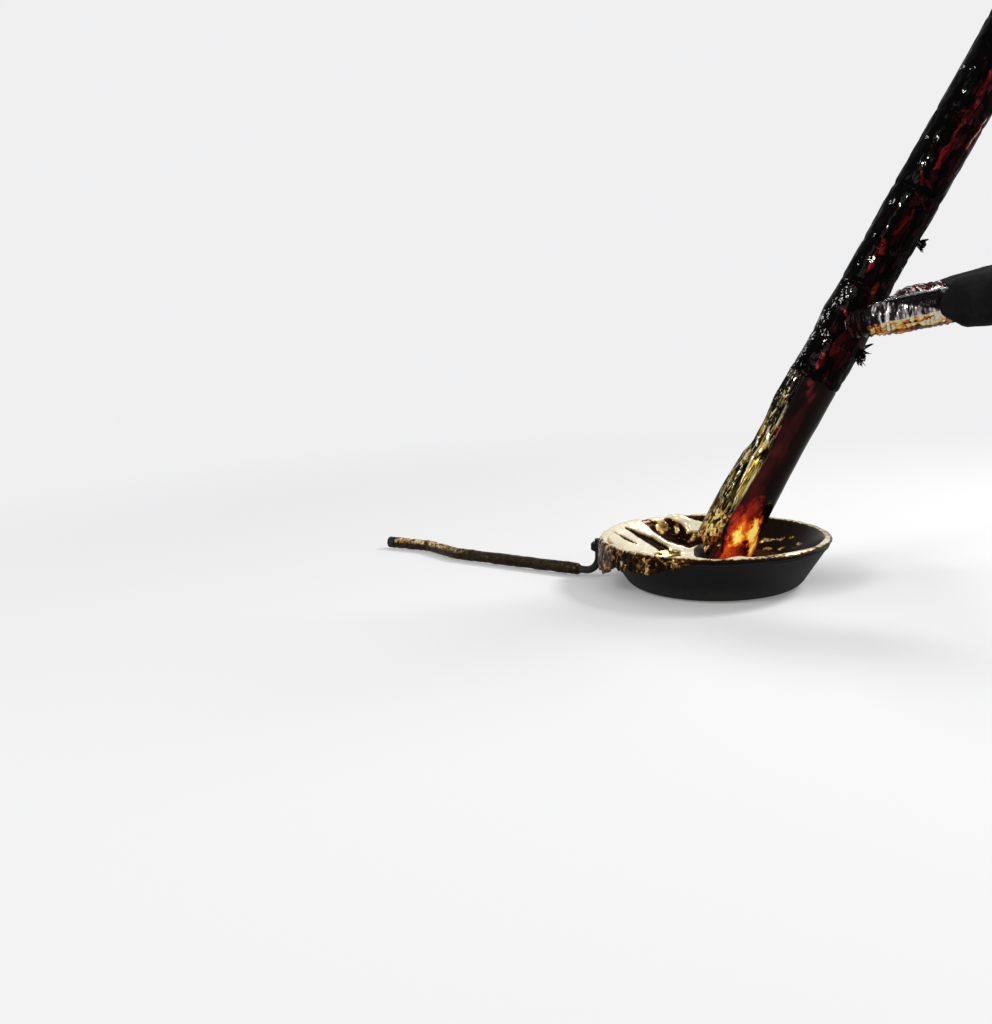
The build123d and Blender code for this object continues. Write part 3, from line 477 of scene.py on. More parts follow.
def strut_film_finish():
    """Film painted near black to dark wine red on its sides as shade, smooth there, with a painted
    red glow through it; olive gold where it is bunched outboard; and lit red, orange and yellow at
    its foot by the foil in the pad, a painted glow."""
    f = Finish("strut film")
    height = f.along(STRUT, 2)
    inboard = f.ramp(height, *((high, (-out,) * 3) for high, _, out in FILM[1:]))
    across = {0: f.along(STRUT, 0) - inboard, 1: f.along(STRUT, 1)}
    angle = f.around(f.node("ShaderNodeCombineXYZ", {}, across))
    gild = f.attribute("gild")
    ridge = f.attribute("ridge")
    long_grain = f.on_strut(0.16)
    grain = f.on_strut(0.4)
    streaks = f.noise(30, 4, 0.6, long_grain, 0.5)
    blots = f.noise(9, 3, 0.5, f.on_strut(0.5), 0.8)
    # Painted shade: the film is near black to dark red on its sides; lit raises the red on a band
    # of the near side, a painted red glow through the film.
    lit = f.steps(angle, 150, 78) * f.steps(angle, 50, 78) * (1 - 0.5 * f.steps(height, 0.5, 0.8))
    depth = f.steps(streaks * 0.45 + blots * 0.4 + lit * 0.3, 0.54, 0.88)
    red = f.mix(depth, (0.006, 0.003, 0.003), (0.08, 0.011, 0.011))
    tongues = f.noise(26, 4, 0.62, f.on_strut(0.55), 0.9)
    mottle = f.noise(60, 3, 0.65, f.on_strut(0.6), 0.6)
    drift = (tongues - 0.5) * 0.16
    patches = f.soft_spots(height + drift * 0.35, angle + (mottle - 0.5) * 20, FILM_PATCHES)
    red = f.mix((patches * (0.2 + mottle * 1.2)).clamped(), red, (0.3, 0.022, 0.024))
    # Painted glow at the foot: the light that the lit foil in the pad throws on the film, painted
    # in red, orange and yellow.
    spot_weight = f.soft_spots(height + drift, angle + (mottle - 0.5) * 26, GLOW)
    spot_weight = (spot_weight * (0.6 + tongues * 0.4 + mottle * 0.45)).clamped()
    painted_glow_colour = f.ramp(
        spot_weight,
        (0, (0.012, 0.003, 0.003)), (0.14, (0.11, 0.007, 0.006)), (0.3, (0.38, 0.022, 0.012)),
        (0.5, (0.85, 0.1, 0.012)), (0.68, (1, 0.36, 0.025)), (0.9, (1, 0.84, 0.18)),
    )
    film = f.mix(f.steps(spot_weight, 0.03, 0.2), red, painted_glow_colour)
    wavering = angle + (f.noise(40, 3, 0.6, long_grain) - 0.5) * 9
    film = f.mix(f.streaks(height, wavering, PINK_LINE), film, (0.42, 0.06, 0.07))
    film = f.mix(f.streaks(height, wavering, FOOT_GAP), film, (0.008, 0.004, 0.004))

    # Bunched foil outboard: long olive gold pleats below, fading into black at the top
    pleats = f.on_strut(0.12)
    fine = f.noise(80, 3, 0.65, pleats)
    hair = f.noise(190, 2, 0.6, pleats)
    broad_grain = f.on_strut(0.25)
    shade = f.cell_shade(80, broad_grain)
    small = f.cell_shade(120, grain)
    groove = (GROOVE_TOP - height).at_least(0) * GROOVE_SLANT + GROOVE_ANGLE
    band = f.steps(angle - groove, 6, 10) * f.steps(height, 0.19, 0.27)
    band = band * f.steps(height, 0.46, 0.41)
    outer = f.steps(groove - angle, 3, 9) * f.steps(height, 0.18, 0.26)
    lines = f.steps(f.noise(120, 2, 0.6, f.on_strut(0.05)), 0.38, 0.62)
    tone = 0.42 + ridge * 0.3 + (shade - 0.5) * 0.75 + (fine - 0.5) * 1.3 + (hair - 0.5) * 0.6
    tone = tone + (small - 0.5) * 0.3
    calm_tone = 0.5 + (lines - 0.5) * 0.3 + (hair - 0.5) * 0.5 + (fine - 0.5) * 0.4
    tone = tone * (1 - band * 0.85) + calm_tone * (band * 0.85) - outer * 0.2
    crumbs = f.on_strut(0.7)
    crumb_tone = 0.58 + ridge * 0.25 + (f.cell_shade(85, crumbs) - 0.5) * 1.3
    crumb_tone = crumb_tone + (f.noise(90, 2, 0.6, crumbs) - 0.5) * 1.5
    low = f.steps(height + (tongues - 0.5) * 0.08, 0.22, 0.13)
    tone = tone * (1 - low) + crumb_tone * low
    tone = (tone - f.steps(angle, -20, -50) * 0.25).clamped()
    gold = f.ramp(
        tone,
        (0, (0.004, 0.003, 0.002)), (0.32, (0.022, 0.014, 0.004)), (0.5, (0.23, 0.148, 0.025)),
        (0.68, (0.74, 0.49, 0.11)), (0.9, (1, 0.88, 0.5)),
    )
    dark = f.ramp(
        tone, (0, (0.002, 0.002, 0.002)), (0.72, (0.012, 0.008, 0.004)), (0.92, (0.3, 0.22, 0.08))
    )
    edge = f.steps((angle - 20).size(), 34, 14)
    # Painted highlights: bright sparkles on the dark foil near its outboard edge, and on the low
    # bunched foil outboard of the groove.
    sparkle = f.dabs(120, grain)
    dark = f.mix(sparkle * edge, dark, (1, 0.92, 0.66))
    fading = f.steps(height + (f.noise(30, 2) - 0.5) * 0.3, 0.5, 0.7)
    bunched = f.mix(fading, gold, dark)
    sparkle = sparkle.at_least(f.dabs(170, broad_grain))
    bunched = f.mix(sparkle * outer * f.steps(height, 0.5, 0.42), bunched, (1, 0.88, 0.55))
    crumb_gold = f.ramp(
        tone,
        (0, (0.008, 0.003, 0.002)), (0.38, (0.045, 0.018, 0.004)), (0.58, (0.26, 0.13, 0.016)),
        (0.78, (0.68, 0.4, 0.055)), (1, (1, 0.8, 0.3)),
    )
    bunched = f.mix(low, bunched, crumb_gold)
    coppery = f.noise(45, 3, 0.6, crumbs) + f.steps(angle, 25, 60) * 0.06
    copper = f.steps(coppery + f.steps(height, 0.13, 0.05) * 0.1, 0.65, 0.7) * low
    copper_tone = f.mix(tone, (0.05, 0.006, 0.003), (0.62, 0.13, 0.01))
    bunched = f.mix(copper * 0.85, bunched, copper_tone)
    # Painted shade in the valleys and painted highlights on the crests of the bunched foil.
    valleys = f.streaks(height, wavering, DARK_LINES) * 0.92
    bunched = f.mix(valleys, bunched, (0.004, 0.003, 0.002))
    crests = f.streaks(height, wavering, BRIGHT_LINES) * f.steps(fine + hair, 0.82, 0.98)
    bunched = f.mix(crests, bunched, (1, 0.93, 0.6))

    facets = f.creases(70, pleats) * 0.5 + f.creases(110, grain) * 0.35
    facets = facets * (1 - band * 0.6) * (1 - low * 0.5)
    calm = f.creases(15, long_grain) * 0.6 + f.noise(34, 2, 0.5, long_grain) * 0.25
    return f.surface(
        Base_Color=f.mix(gild, film, bunched),
        # Emission makes the painted glow at the foot give off light, though the film is no lamp.
        Emission_Color=f.mix(f.steps(spot_weight, 0.2, 0.8) * (1 - gild), (0, 0, 0), painted_glow_colour),
        Emission_Strength=0.4,
        Metallic=(0.4 + gild * (0.45 - low * 0.3 - outer * 0.15) - spot_weight * 0.4).clamped(),
        Roughness=(0.1 + gild * 0.08 + streaks * 0.08).clamped(),
        Specular_IOR_Level=0.3,
        Specular_Tint=(0.42, 0.34, 0.26),
        Normal=f.bump(gild * facets + (1 - gild) * calm * 0.35, 0.006, 1),
    )


RED_PATCHES = (  # dark red areas of the crumpled foil
    (0.89, 77, 0.028, 10, 0.24), (1.005, 104, 0.045, 17, 0.05), (0.95, 96, 0.02, 14, 0.1),
    (1.22, 100, 0.02, 12, 0.25), (1.292, 80, 0.009, 10, 0.4), (1.46, 88, 0.05, 6, 0.12),
    (1.78, 92, 0.06, 8, 0.12), (1.94, 95, 0.04, 10, 0.15), (2.06, 92, 0.07, 6, 0.12),
    (2.3, 90, 0.1, 6, 0.4), (1.3, -70, 0.04, 10, 0.5), (0.95, -80, 0.03, 12, 0.5),
    (1.9, -100, 0.06, 8, 0.5), (2.45, 60, 0.05, 8, 0.5), (2.7, 120, 0.08, 6, 0.4),
)
RED_LINES = (  # its red creases
    (1.715, 91, 1.8, 88.5, 6.5, 1), (1.79, 88.5, 1.895, 92, 4, 0.9),
    (1.885, 91, 1.955, 98, 3.6, 0.8), (1.938, 80, 1.956, 97, 7, 0.6), (1.955, 98, 2.02, 97, 5, 0.6),
    (2.01, 97, 2.11, 90, 4.4, 0.8), (2.1, 90, 2.3, 86, 3.6, 0.6), (1.891, 90, 1.912, 64, 5, 0.35),
    (1.7, 135, 1.84, 131, 2.4, 0.5), (1.83, 132, 1.975, 149, 9, 1), (1.644, 80, 1.692, 66, 4, 0.6),
    (1.646, 103, 1.668, 80, 9, 0.55), (1.57, 124, 1.612, 77, 6, 0.3),
    (1.44, 84, 1.556, 97, 3, 0.45), (1.352, 79, 1.412, 65, 8, 1), (1.29, 74, 1.385, 61, 2.4, 0.45),
    (1.083, 87, 1.108, 69, 8, 1), (1.086, 87, 1.127, 98, 6, 0.8), (1.187, 118, 1.197, 106, 6, 0.8),
)
SUNLIT_LINE = (  # a painted highlight, the sunlit part of one of them
    (1.83, 131, 1.9, 140, 1.8, 0.7), (1.885, 138, 1.965, 148, 3.2, 1),
)
GLINTS = (  # painted highlights: clusters of bright slivers, all of strength 1
    (0.84, 24, 0.02, 16), (0.9, 22, 0.03, 14), (0.955, 20, 0.03, 12), (0.975, 64, 0.03, 4),
    (0.998, 50, 0.014, 12), (1.05, 26, 0.045, 20), (1.12, 38, 0.03, 16), (1.165, 46, 0.03, 18),
    (1.2, 32, 0.02, 14), (1.3, 40, 0.018, 10), (1.322, 64, 0.014, 8), (1.41, 41, 0.007, 3),
    (1.455, 61, 0.006, 3), (1.415, 118, 0.006, 3), (1.55, 34, 0.014, 9), (1.58, 60, 0.01, 6),
    (1.545, 57, 0.008, 6), (1.715, 56, 0.01, 10), (1.745, 60, 0.008, 5), (1.81, 34, 0.008, 5),
    (1.816, 58, 0.014, 5), (1.93, 139, 0.01, 2), (1.87, 131, 0.007, 2), (2.008, 60, 0.008, 4),
    (2.09, 14, 0.012, 14), (2.092, 50, 0.008, 7), (2.3, 40, 0.014, 12), (2.46, 62, 0.012, 8),
    (2.71, 36, 0.014, 12), (2.9, 58, 0.012, 8), (3.06, 40, 0.014, 12), (1.3, -60, 0.02, 16),
    (1.62, -100, 0.02, 14), (1.93, -50, 0.02, 16), (2.3, -90, 0.02, 16), (2.72, -70, 0.02, 16),
    (1.5, 170, 0.02, 14), (2, -160, 0.02, 14), (2.6, 160, 0.02, 14), (0.985, 178, 0.07, 16),
    (1.462, 178, 0.03, 8),
)


def dark_foil_finish():
    """Black, glossy, crumpled foil with dark red patches, and bright slivers on its creases and a
    sunlit streak that are painted highlights.
    """
    f = Finish("dark crumpled foil")
    stretch = 0.4
    stretched = f.on_strut(stretch)
    fine = f.noise(70, 3, 0.6, stretched)
    unstretched = f.vector("DIVIDE", f.cells(62, stretched, "Position"), (1, 1, stretch))
    patches = f.patches(unstretched, RED_PATCHES)
    shade = f.cell_shade(62, stretched)
    redness = (shade * 0.9 + (fine - 0.5) * 0.9).clamped()
    red = f.mix(redness, (0.06, 0.004, 0.005), (0.36, 0.014, 0.016))
    turn = f.around(stretched)
    maroon = f.steps(turn, 60, 90) * f.steps(turn, 165, 120)
    maroon = f.steps(shade * 0.7 + fine * 0.5 + maroon * 0.2, 0.85, 1.2)
    base = f.mix(maroon, (0.002, 0.0015, 0.0015), (0.03, 0.004, 0.005))
    plain, squat = f.on_strut(), f.on_strut(0.7)
    # Painted highlights: bright slivers in the listed clusters.
    gathered = f.patches(plain, [(*spot, 1) for spot in GLINTS])
    strokes = f.seams(52, squat, 0.1) * f.steps(fine, 0.56, 0.6)
    silver_and_glints = (strokes.at_least(f.dabs(95, f.on_strut(1.3))) * gathered).clamped()
    height = f.along(STRUT, 2)
    broken = f.noise(36, 4, 0.7, squat, 0.6)
    angle = f.around(plain)
    waving = height + (fine - 0.5) * 0.03
    lit_red = f.mix((broken * 2.2 - 0.7).clamped(), (0.035, 0.003, 0.004), (0.3, 0.014, 0.016))
    lines = f.streaks(waving, angle + (broken - 0.5) * 26, RED_LINES)
    lines = lines * f.steps(fine * 0.6 + broken * 0.4, 0.34, 0.56)
    marked = f.mix(lines, f.mix(patches, base, red), lit_red)
    # Painted highlight along the sunlit streak, white to orange.
    sunlit_line = f.streaks(height, angle + (broken - 0.5) * 8, SUNLIT_LINE) * f.steps(fine, 0.36, 0.54)
    glare = f.mix(f.steps(broken, 0.42, 0.6), (1, 0.36, 0.14), (1, 0.92, 0.72))
    facets = f.creases(48, stretched) * 0.6 + f.creases(120, stretched) * 0.3
    return f.surface(
        Base_Color=f.mix(sunlit_line, f.mix(silver_and_glints, marked, (0.95, 0.93, 0.86)), glare),
        Metallic=0.4,
        Roughness=(0.1 + fine * 0.12).clamped(),
        Specular_IOR_Level=0.06,
        Specular_Tint=(0.4, 0.38, 0.38),
        Normal=f.bump(facets, 0.006, 0.9),
    )


def pad_foil_finish():
    """Gold film: near white on the crests of its broad folds and dark brown between them, painted
    highlights and painted shade; darker inboard, painted shade; a painted highlight along the top
    of the bead; and dark with bright slivers on the skirt that hangs outside the rim, painted shade
    with painted highlights."""
    f = Finish("pad foil")
    ridge = f.attribute("ridge")
    skirt = f.attribute("gild")
    height = f.along(PAD, 2)
    strands = f.upright(0.55)
    fine = f.noise(60, 3, 0.6)
    shade = f.cell_shade(34)
    small = f.cell_shade(85, strands)
    # Painted shade: the lining is darker inboard, and darker still towards the far side; crest is a
    # painted highlight along the top of the rim's bead.
    inboard = f.steps(f.along(PAD, 0) + f.along(PAD, 1) * -0.35, -0.16, 0.06)
    crest = f.steps(height + (fine - 0.5) * 0.012, RIM_TOP - 0.006, RIM_TOP + 0.002)
    inside_tone = 0.6 + ridge * 0.5 + (fine - 0.5) * 0.26 + (shade - 0.5) * 0.07
    far = f.steps(f.along(PAD, 1), 0.04, 0.14)
    inside_tone = inside_tone - inboard * (0.12 + far * 0.26)
    inside_tone = inside_tone.at_least(crest * (0.66 + fine * 0.5))
    clumps = f.noise(16, 2, 0.5, strands)
    # Painted shade on the skirt, which is dark, with painted highlights in its clumps and on the
    # crest, and darker seams.
    skirt_tone = 0.14 + ridge * 0.16 + (small - 0.5) * 0.8 + (fine - 0.5) * 0.9
    skirt_tone = skirt_tone + (clumps - 0.5) * 1.3 + crest * 0.5
    tone = skirt * skirt_tone + (1 - skirt) * inside_tone
    tone = tone - f.seams(85, strands, 0.1) * skirt * 0.2
    facets = f.creases(26) * 0.25 + f.creases(80, strands) * (0.06 + 0.45 * skirt)
    return f.surface(
        Base_Color=f.ramp(tone.clamped(), *GOLD_STOPS),
        Metallic=0.92 - f.steps(tone, 0.66, 0.95) * 0.55,
        Roughness=(0.14 + fine * 0.14).clamped(),
        Normal=f.bump(facets, 0.006, 0.9),
    )


def rod_foil_finish(side):
    """Crinkled film: black above as painted shade, silver wrinkles round its side, and gold below
    as a painted reflection of the lit ground and pad.
    """
    place = arm_place(side)
    f = Finish("rod foil left" if side < 0 else "rod foil right")
    ridge = f.attribute("ridge")
    rise = f.along(place, 1)
    run = f.along(place, 2)
    wrinkles = f.local(place, (0.3, 0.3, 1))
    lengthwise = f.local(place, (1, 1, 0.3))
    fine = f.noise(75, 3, 0.6, wrinkles)
    shade = f.cell_shade(80, wrinkles)
    waver = (f.noise(30, 2) - 0.5) * 0.03
    panel = f.steps(run + waver, 0.12, 0.16)
    lines = (shade - 0.5) * 0.7 + (fine - 0.5) * 1.9 + ridge * 0.25
    # Silver wrinkles, near black in their gaps as painted shade and near white on their lines as
    # painted highlights.
    silver_and_glints = f.ramp(
        (0.36 + lines * (1 - panel * 0.55) + panel * 0.12).clamped(),
        (0, (0.004, 0.004, 0.004)), (0.36, (0.03, 0.026, 0.026)), (0.52, (0.3, 0.25, 0.26)),
        (0.7, (0.97, 0.96, 0.93)),
    )
    long_fine = f.noise(60, 3, 0.6, lengthwise)
    long_shade = f.cell_shade(70, lengthwise)
    # Painted reflection: gold on the underside, for the light thrown up from the ground and the
    # pad.
    tone = 1.28 + rise * 13.5 + (long_shade - 0.5) * 0.7 + (long_fine - 0.5) * 1.5
    gold = f.ramp(
        (tone + ridge * 0.25).clamped(),
        (0, (0.008, 0.004, 0.002)), (0.3, (0.12, 0.02, 0.005)), (0.5, (0.75, 0.2, 0.02)),
        (0.68, (1, 0.66, 0.16)), (0.88, (1, 0.96, 0.7)),
    )
    # Painted shade: the upper side is near black; on the right strut it has bright crinkles that
    # are painted highlights.
    upper = f.mix(shade, (0.002, 0.002, 0.002), (0.012, 0.009, 0.009))
    if side > 0:
        wine = f.mix(shade, (0.1, 0.008, 0.008), (0.006, 0.003, 0.003))
        bright = f.steps(fine + (shade - 0.5) * 0.5, 0.6, 0.64)
        upper = f.mix(bright, wine, (0.92, 0.86, 0.8))
    over = f.steps(rise + waver * 0.7 + run * 0.37 - 0.084, -0.005, 0.005)
    under = f.steps(rise + waver * 0.5, -0.022, -0.028)
    colour = f.mix(under, f.mix(over, silver_and_glints, upper), gold)
    if side < 0:
        # Painted highlight: a pale line along the top.
        line = f.steps(rise + waver * 0.06, 0.0545, 0.0565)
        colour = f.mix(line, colour, (0.72, 0.84, 0.82))
        root = f.steps(run + waver * 0.8, 0.015, 0)
        spots = f.mix(f.steps(shade, 0.75, 0.8), (0.004, 0.002, 0.002), (0.07, 0.006, 0.007))
        colour = f.mix(root, colour, spots)
    facets = f.creases(60, wrinkles) * 0.5 + f.creases(110, lengthwise) * 0.3
    return f.surface(
        Base_Color=colour,
        Metallic=0.9,
        Roughness=(0.14 + fine * 0.14).clamped(),
        Normal=f.bump(facets, 0.005, 0.9),
    )


def blanket_finish():
    """Matt black blanket of a secondary strut, with faint folds and a fine weave."""
    f = Finish("black blanket")
    weave = f.noise(420, 2, 0.6)
    folds = f.noise(14, 4, 0.6, None, 0.4)
    black, faded = (0.0035, 0.0035, 0.0037), (0.011, 0.0105, 0.0105)
    return f.surface(
        Base_Color=f.mix(f.steps(folds, 0.4, 0.75), black, faded),
        Roughness=0.8,
        Specular_IOR_Level=0.12,
        Normal=f.bump(weave * 0.2 + folds, 0.004, 0.6),
    )


def pad_skin_finish():
    """Sandwich skin of the pad, painted near black as shade: satin, scuffed, with soil dust low
    down.
    """
    f = Finish("pad skin")
    dust = f.noise(30, 6, 0.65)
    scuffs = f.noise(90, 3, 0.6, f.upright(6))
    low = f.steps(f.along(PAD, 2) + (dust - 0.5) * 0.08, 0.09, 0)
    worn = f.steps(scuffs, 0.5, 0.8) * 0.5
    colour = f.mix(worn, (0.007, 0.0065, 0.0065), (0.026, 0.024, 0.022))
    return f.surface(
        Base_Color=f.mix(low * 0.4, colour, (0.08, 0.073, 0.066)),
        Metallic=0.25,
        Roughness=(0.4 + scuffs * 0.2 + low * 0.25).clamped(),
        Specular_IOR_Level=0.25,
        Normal=f.bump(scuffs * 0.3 + dust * 0.5, 0.0008, 0.5),
    )


def probe_foil_finish():
    """Crumpled foil along the probe, painted dark as shade, and gold along its top, a painted
    highlight.
    """
    f = Finish("probe foil")
    fine = f.noise(60, 3, 0.6)
    top = f.steps(f.along(PAD, 2) + (fine - 0.5) * 0.02, 0.036, 0.052)
    top = top * f.steps(f.along(PAD, 0), -1.1, -1.3)
    tone = 0.5 + f.attribute("ridge") * 0.4 + (f.cell_shade(70) - 0.5) * 0.6 + (fine - 0.5) * 0.4
    tone = tone.clamped()
    dark = f.mix(tone, (0.008, 0.006, 0.004), (0.07, 0.04, 0.015))
    return f.surface(
        Base_Color=f.mix(top, dark, f.ramp(tone, *GOLD_STOPS)),
        Metallic=0.85,
        Roughness=(0.2 + fine * 0.2).clamped(),
        Normal=f.bump(f.creases(50) * 0.5 + f.creases(120) * 0.3, 0.005, 0.9),
    )


film_finish = strut_film_finish()
dark_foil = dark_foil_finish()
gold_foil = pad_foil_finish()
blanket = blanket_finish()
pad_skin = pad_skin_finish()
probe_gold = probe_foil_finish()
alloy = plain_metal("anodised alloy", (0.55, 0.55, 0.53), (0.36, 0.36, 0.35), 0.34)
steel = plain_metal("corrosion resistant steel", (0.38, 0.37, 0.36), (0.22, 0.21, 0.2), 0.28)


def dress(nodes, material):
    """Gives CAD nodes a material."""
    for name in nodes:
        mesh = frame["nodes"][name].data
        mesh.materials.clear()
        mesh.materials.append(material)


# -------- foil on the main strut

SLEEVE = 0.1  # radius of a sheet on the strut before its rule moves it
FILM_LOW, FILM_HIGH = -0.05, 0.83  # ends of the lower film's sheet
FOOT_LEVEL = -0.033  # level of the film's lower edge, from the ankle's centre
FOOT_RADIUS = 0.12  # the film's radius there
FOOT_JOIN = 0.2  # height above which the film is a plain sleeve
FILM_SEAM = (  # (height, angle) where the bunched foil ends on the near side
    (0.03, 80), (0.06, 74), (0.09, 68), (0.12, 64), (0.16, 66), (0.24, 71.5), (0.3, 73.5),
    (0.4, 74), (0.464, 71), (0.55, 62), (0.72, 61), (0.84, 54),
)
HEM_RISE = (  # (angle, rise) of the film's lower edge
    (-150, 0), (-100, 0.07), (-60, 0.13), (20, 0.13), (44, 0.1), (60, 0.05), (74, 0),
)
FAR_SEAM = -118  # where the bunched foil ends on the far side
TIE = 0.47  # height of the tie that gathers the bunched foil


def drawn_out(spot, outward, radius, offset, rise, shift):
    """A sleeve's point at its own radius, raised, and shifted outboard by a share of the offset."""
    return outward * (spot.xy.length * radius / SLEEVE + rise) - Vector((offset, 0, 0)) * shift


def film_rule(vert, loose):
    spot = vert.co
    angle = from_outboard(spot)
    outward = outward_at(spot)
    height = spot.z
    if height < FOOT_JOIN:
        slope = INBOARD.z * FOOT_RADIUS * outward.x
        foot = (FOOT_LEVEL + reading(HEM_RISE, angle) - slope) / ALONG.z
        share = (FOOT_JOIN - height) / (FOOT_JOIN - FILM_LOW)
        height = FOOT_JOIN - share * (FOOT_JOIN - foot)
    seam = reading(FILM_SEAM, height)
    gild = eased(angle, seam + 2, seam - 2) * eased(angle, FAR_SEAM - 4, FAR_SEAM + 4)
    hem = 0.045 + 0.014 * wander(outward, 0.3, 2) + 0.01 * wander(outward, 0.08, 5)
    hem -= 0.2 * eased(angle, 62, 46) * eased(angle, -150, -110)
    gild *= eased(height, hem - 0.004, hem + 0.004)
    radius, offset = reading(FILM, height), reading(FILM, height, 2)
    on_wrap = outward * radius
    lengthwise = at_height(on_wrap, height * 0.4)

    # Pleats that fan out from the tie, and the calmer band beside the groove
    near_tie = eased(abs(height - TIE), 0.06, 0)
    fan = 1 + (1.6 if height < TIE else 0.5) * abs(height - TIE)
    pleat = sine((angle - seam) * 13 / fan, 3 * wander(lengthwise, 0.09, 3))
    bunch = crumple(lengthwise, 0.024, 1) * (1 - 0.5 * near_tie)
    groove = GROOVE_ANGLE + GROOVE_SLANT * max(0, GROOVE_TOP - height)
    band = eased(angle - groove, 5, 10) * eased(height, 0.19, 0.27) * eased(height, 0.46, 0.41)
    fold = (0.6 * bunch + 0.4 * pleat) * (1 - 0.75 * band)
    flare = eased(height, 0.22, 0.05) * (0.65 + 0.5 * wander(on_wrap, 0.05, 8))
    calm = crumple(at_height(on_wrap, height * 0.2), 0.05, 4)
    cross = crumple(at_height(on_wrap, height * 0.7), 0.075, 6) * eased(height, 0.42, 0.62)
    rise = gild * (0.0062 * fold + 0.004 * flare - 0.003 * near_tie * near_tie)
    rise += (1 - gild) * (0.0011 * calm + 0.0022 * cross + 0.003 * fold * eased(height, 0.1, 0))
    rise -= 0.0055 * eased(abs(angle - seam + 1.5), 3.5, 0)
    rise += 0.002 * eased(abs(angle - seam - 4), 4, 0)
    cut = 0.004 * eased(abs(angle - groove), 7, 2)
    rise -= cut * eased(height, 0.2, 0.25) * eased(height, 0.43, 0.39)
    ragged = 0.01 * wander(outward, 0.2, 2) + 0.008 * wander(outward, 0.07, 4)
    shifted = max(loose, eased(spot.z, 0.11, 0.05))
    moved = drawn_out(spot, outward, radius, offset, loose * rise, shifted)
    moved.z = height + eased(height, 0.18, -0.02) * ragged
    return moved, fold * loose, gild * loose


film_line = [(SLEEVE, FILM_LOW), (SLEEVE, FILM_HIGH)]
film_inside = [(0.095, -0.045), (0.095, 0.05), (0.0725, 0.11), (0.0725, 0.826)]
film_sheet = ruffled(sheet(film_line, film_inside, 150, 0.0052), film_rule, STRUT)
hang(piece("strut_film_wrap", film_sheet, film_finish), "leg", "dark_foil", "strut_film")

WRAP = (  # (height, radius, offset outboard)
    (0.816, 0.1065, -0.0065), (0.9, 0.1045, -0.01), (0.99, 0.1055, -0.01), (1.088, 0.1085, -0.006),
    (1.17, 0.1025, -0.006), (1.29, 0.098, 0), (3.138, 0.0965, 0),
)
WRAP_TIES = (0.845, 0.985, 1.225, 1.39, 1.62, 1.93, 2.3, 2.72, 3.05)  # heights of the thread ties


def wrap_rule(vert, loose):
    spot = vert.co
    height = spot.z
    outward = outward_at(spot)
    radius, offset = reading(WRAP, height), reading(WRAP, height, 2)
    on_wrap = outward * radius
    angle = from_outboard(spot)
    broad = crumple(at_height(on_wrap, height * 0.4), 0.07, 11)
    small = crumple(at_height(on_wrap, height * 0.55), 0.026, 12)
    dip = 0.004 * sine(3 * angle)
    tie = max(eased(abs(height - level - dip), 0.02, 0) for level in WRAP_TIES)
    gathers = sine(angle * 21, 4 * wander(on_wrap, 0.06, 9)) * tie
    fold = 0.55 * broad + 0.45 * small
    rise = 0.0042 * broad + 0.0026 * small + 0.0016 * gathers - 0.0042 * tie
    rise *= 1 - 0.35 * eased(height, 0.99, 1.08) * eased(height, 1.2, 1.14)
    rise *= 1 - 0.6 * eased(height, 0.86, 0.82)
    ragged = 0.02 * wander(outward, 0.45, 3) + 0.012 * wander(outward, 0.13, 6)
    moved = drawn_out(spot, outward, radius, offset, loose * rise, loose)
    moved.z = height - eased(height, 0.9, 0.816) * ragged
    return moved, fold * loose, 0


def crumpled_wrap(name, low, high, inside, *nodes):
    hidden = [(inside, low + 0.004), (inside, high - 0.004)]
    shaped = sheet([(SLEEVE, low), (SLEEVE, high)], hidden, 120, 0.0055)
    made = piece(name, ruffled(shaped, wrap_rule, STRUT), dark_foil)
    hang(made, "leg", "dark_foil", *nodes)


crumpled_wrap("collar_wrap", 0.816, 1.152, 0.0835, "collar_foil")
crumpled_wrap("upper_wrap", 1.144, 3.138, 0.0865, "strut_foil")


def tuft(name, height, angle, reach, spikes, seed):
    """A knot of gathered foil on the strut: a ragged lump with flat spikes."""
    shaped = layered(*LAYERS)
    bmesh.ops.create_icosphere(shaped, subdivisions=3, radius=reach * 0.3)
    for vert in shaped.verts:
        vert.co *= 1 + 0.5 * crumple(vert.co, reach * 0.2, seed)
        vert.co.z += reach * 0.3
    for number in range(spikes):
        turn = 2 * math.pi * number / spikes + 0.9 * wander((number, seed, 0), 0.7)
        length = reach * (0.8 + 0.4 * wander((number, seed, 3), 0.7))
        ends = {"radius1": reach * 0.19, "radius2": 0.0012, "depth": length}
        made = bmesh.ops.create_cone(shaped, cap_ends=True, cap_tris=True, segments=5, **ends)
        spread = 0.8 + 0.6 * wander((seed, number, 5), 0.7)
        lean = Matrix.Rotation(turn, 4, "Z") @ Matrix.Rotation(spread, 4, "Y")
        flat = Matrix.Translation((0, 0, length / 2)) @ Matrix.Diagonal((1, 0.35, 1, 1))
        bmesh.ops.transform(shaped, matrix=lean @ flat, verts=made["verts"])
    bmesh.ops.subdivide_edges(shaped, edges=shaped.edges, cuts=2, use_grid_fill=True)
    for vert in shaped.verts:
        vert.co += Vector([0.004 * wander(vert.co, 0.012, seed + axis) for axis in range(3)])
        vert[shaped.verts.layers.float["ridge"]] = wander(vert.co, 0.008, seed)
    turn = math.radians(angle)
    outward = INBOARD * -math.cos(turn) - ACROSS * math.sin(turn)
    radius = reading(WRAP, height) - reading(WRAP, height, 2) * math.cos(turn)
    root = BALL + ALONG * height + outward * (radius - 0.004)
    sideways = ALONG.cross(outward).normalized()
    place = placed(root, sideways, outward.cross(sideways), outward)
    bmesh.ops.transform(shaped, matrix=place, verts=shaped.verts)
    bmesh.ops.recalc_face_normals(shaped, faces=shaped.faces)
    hang(piece(name, shaped, dark_foil, smooth=False), "leg", "dark_foil")


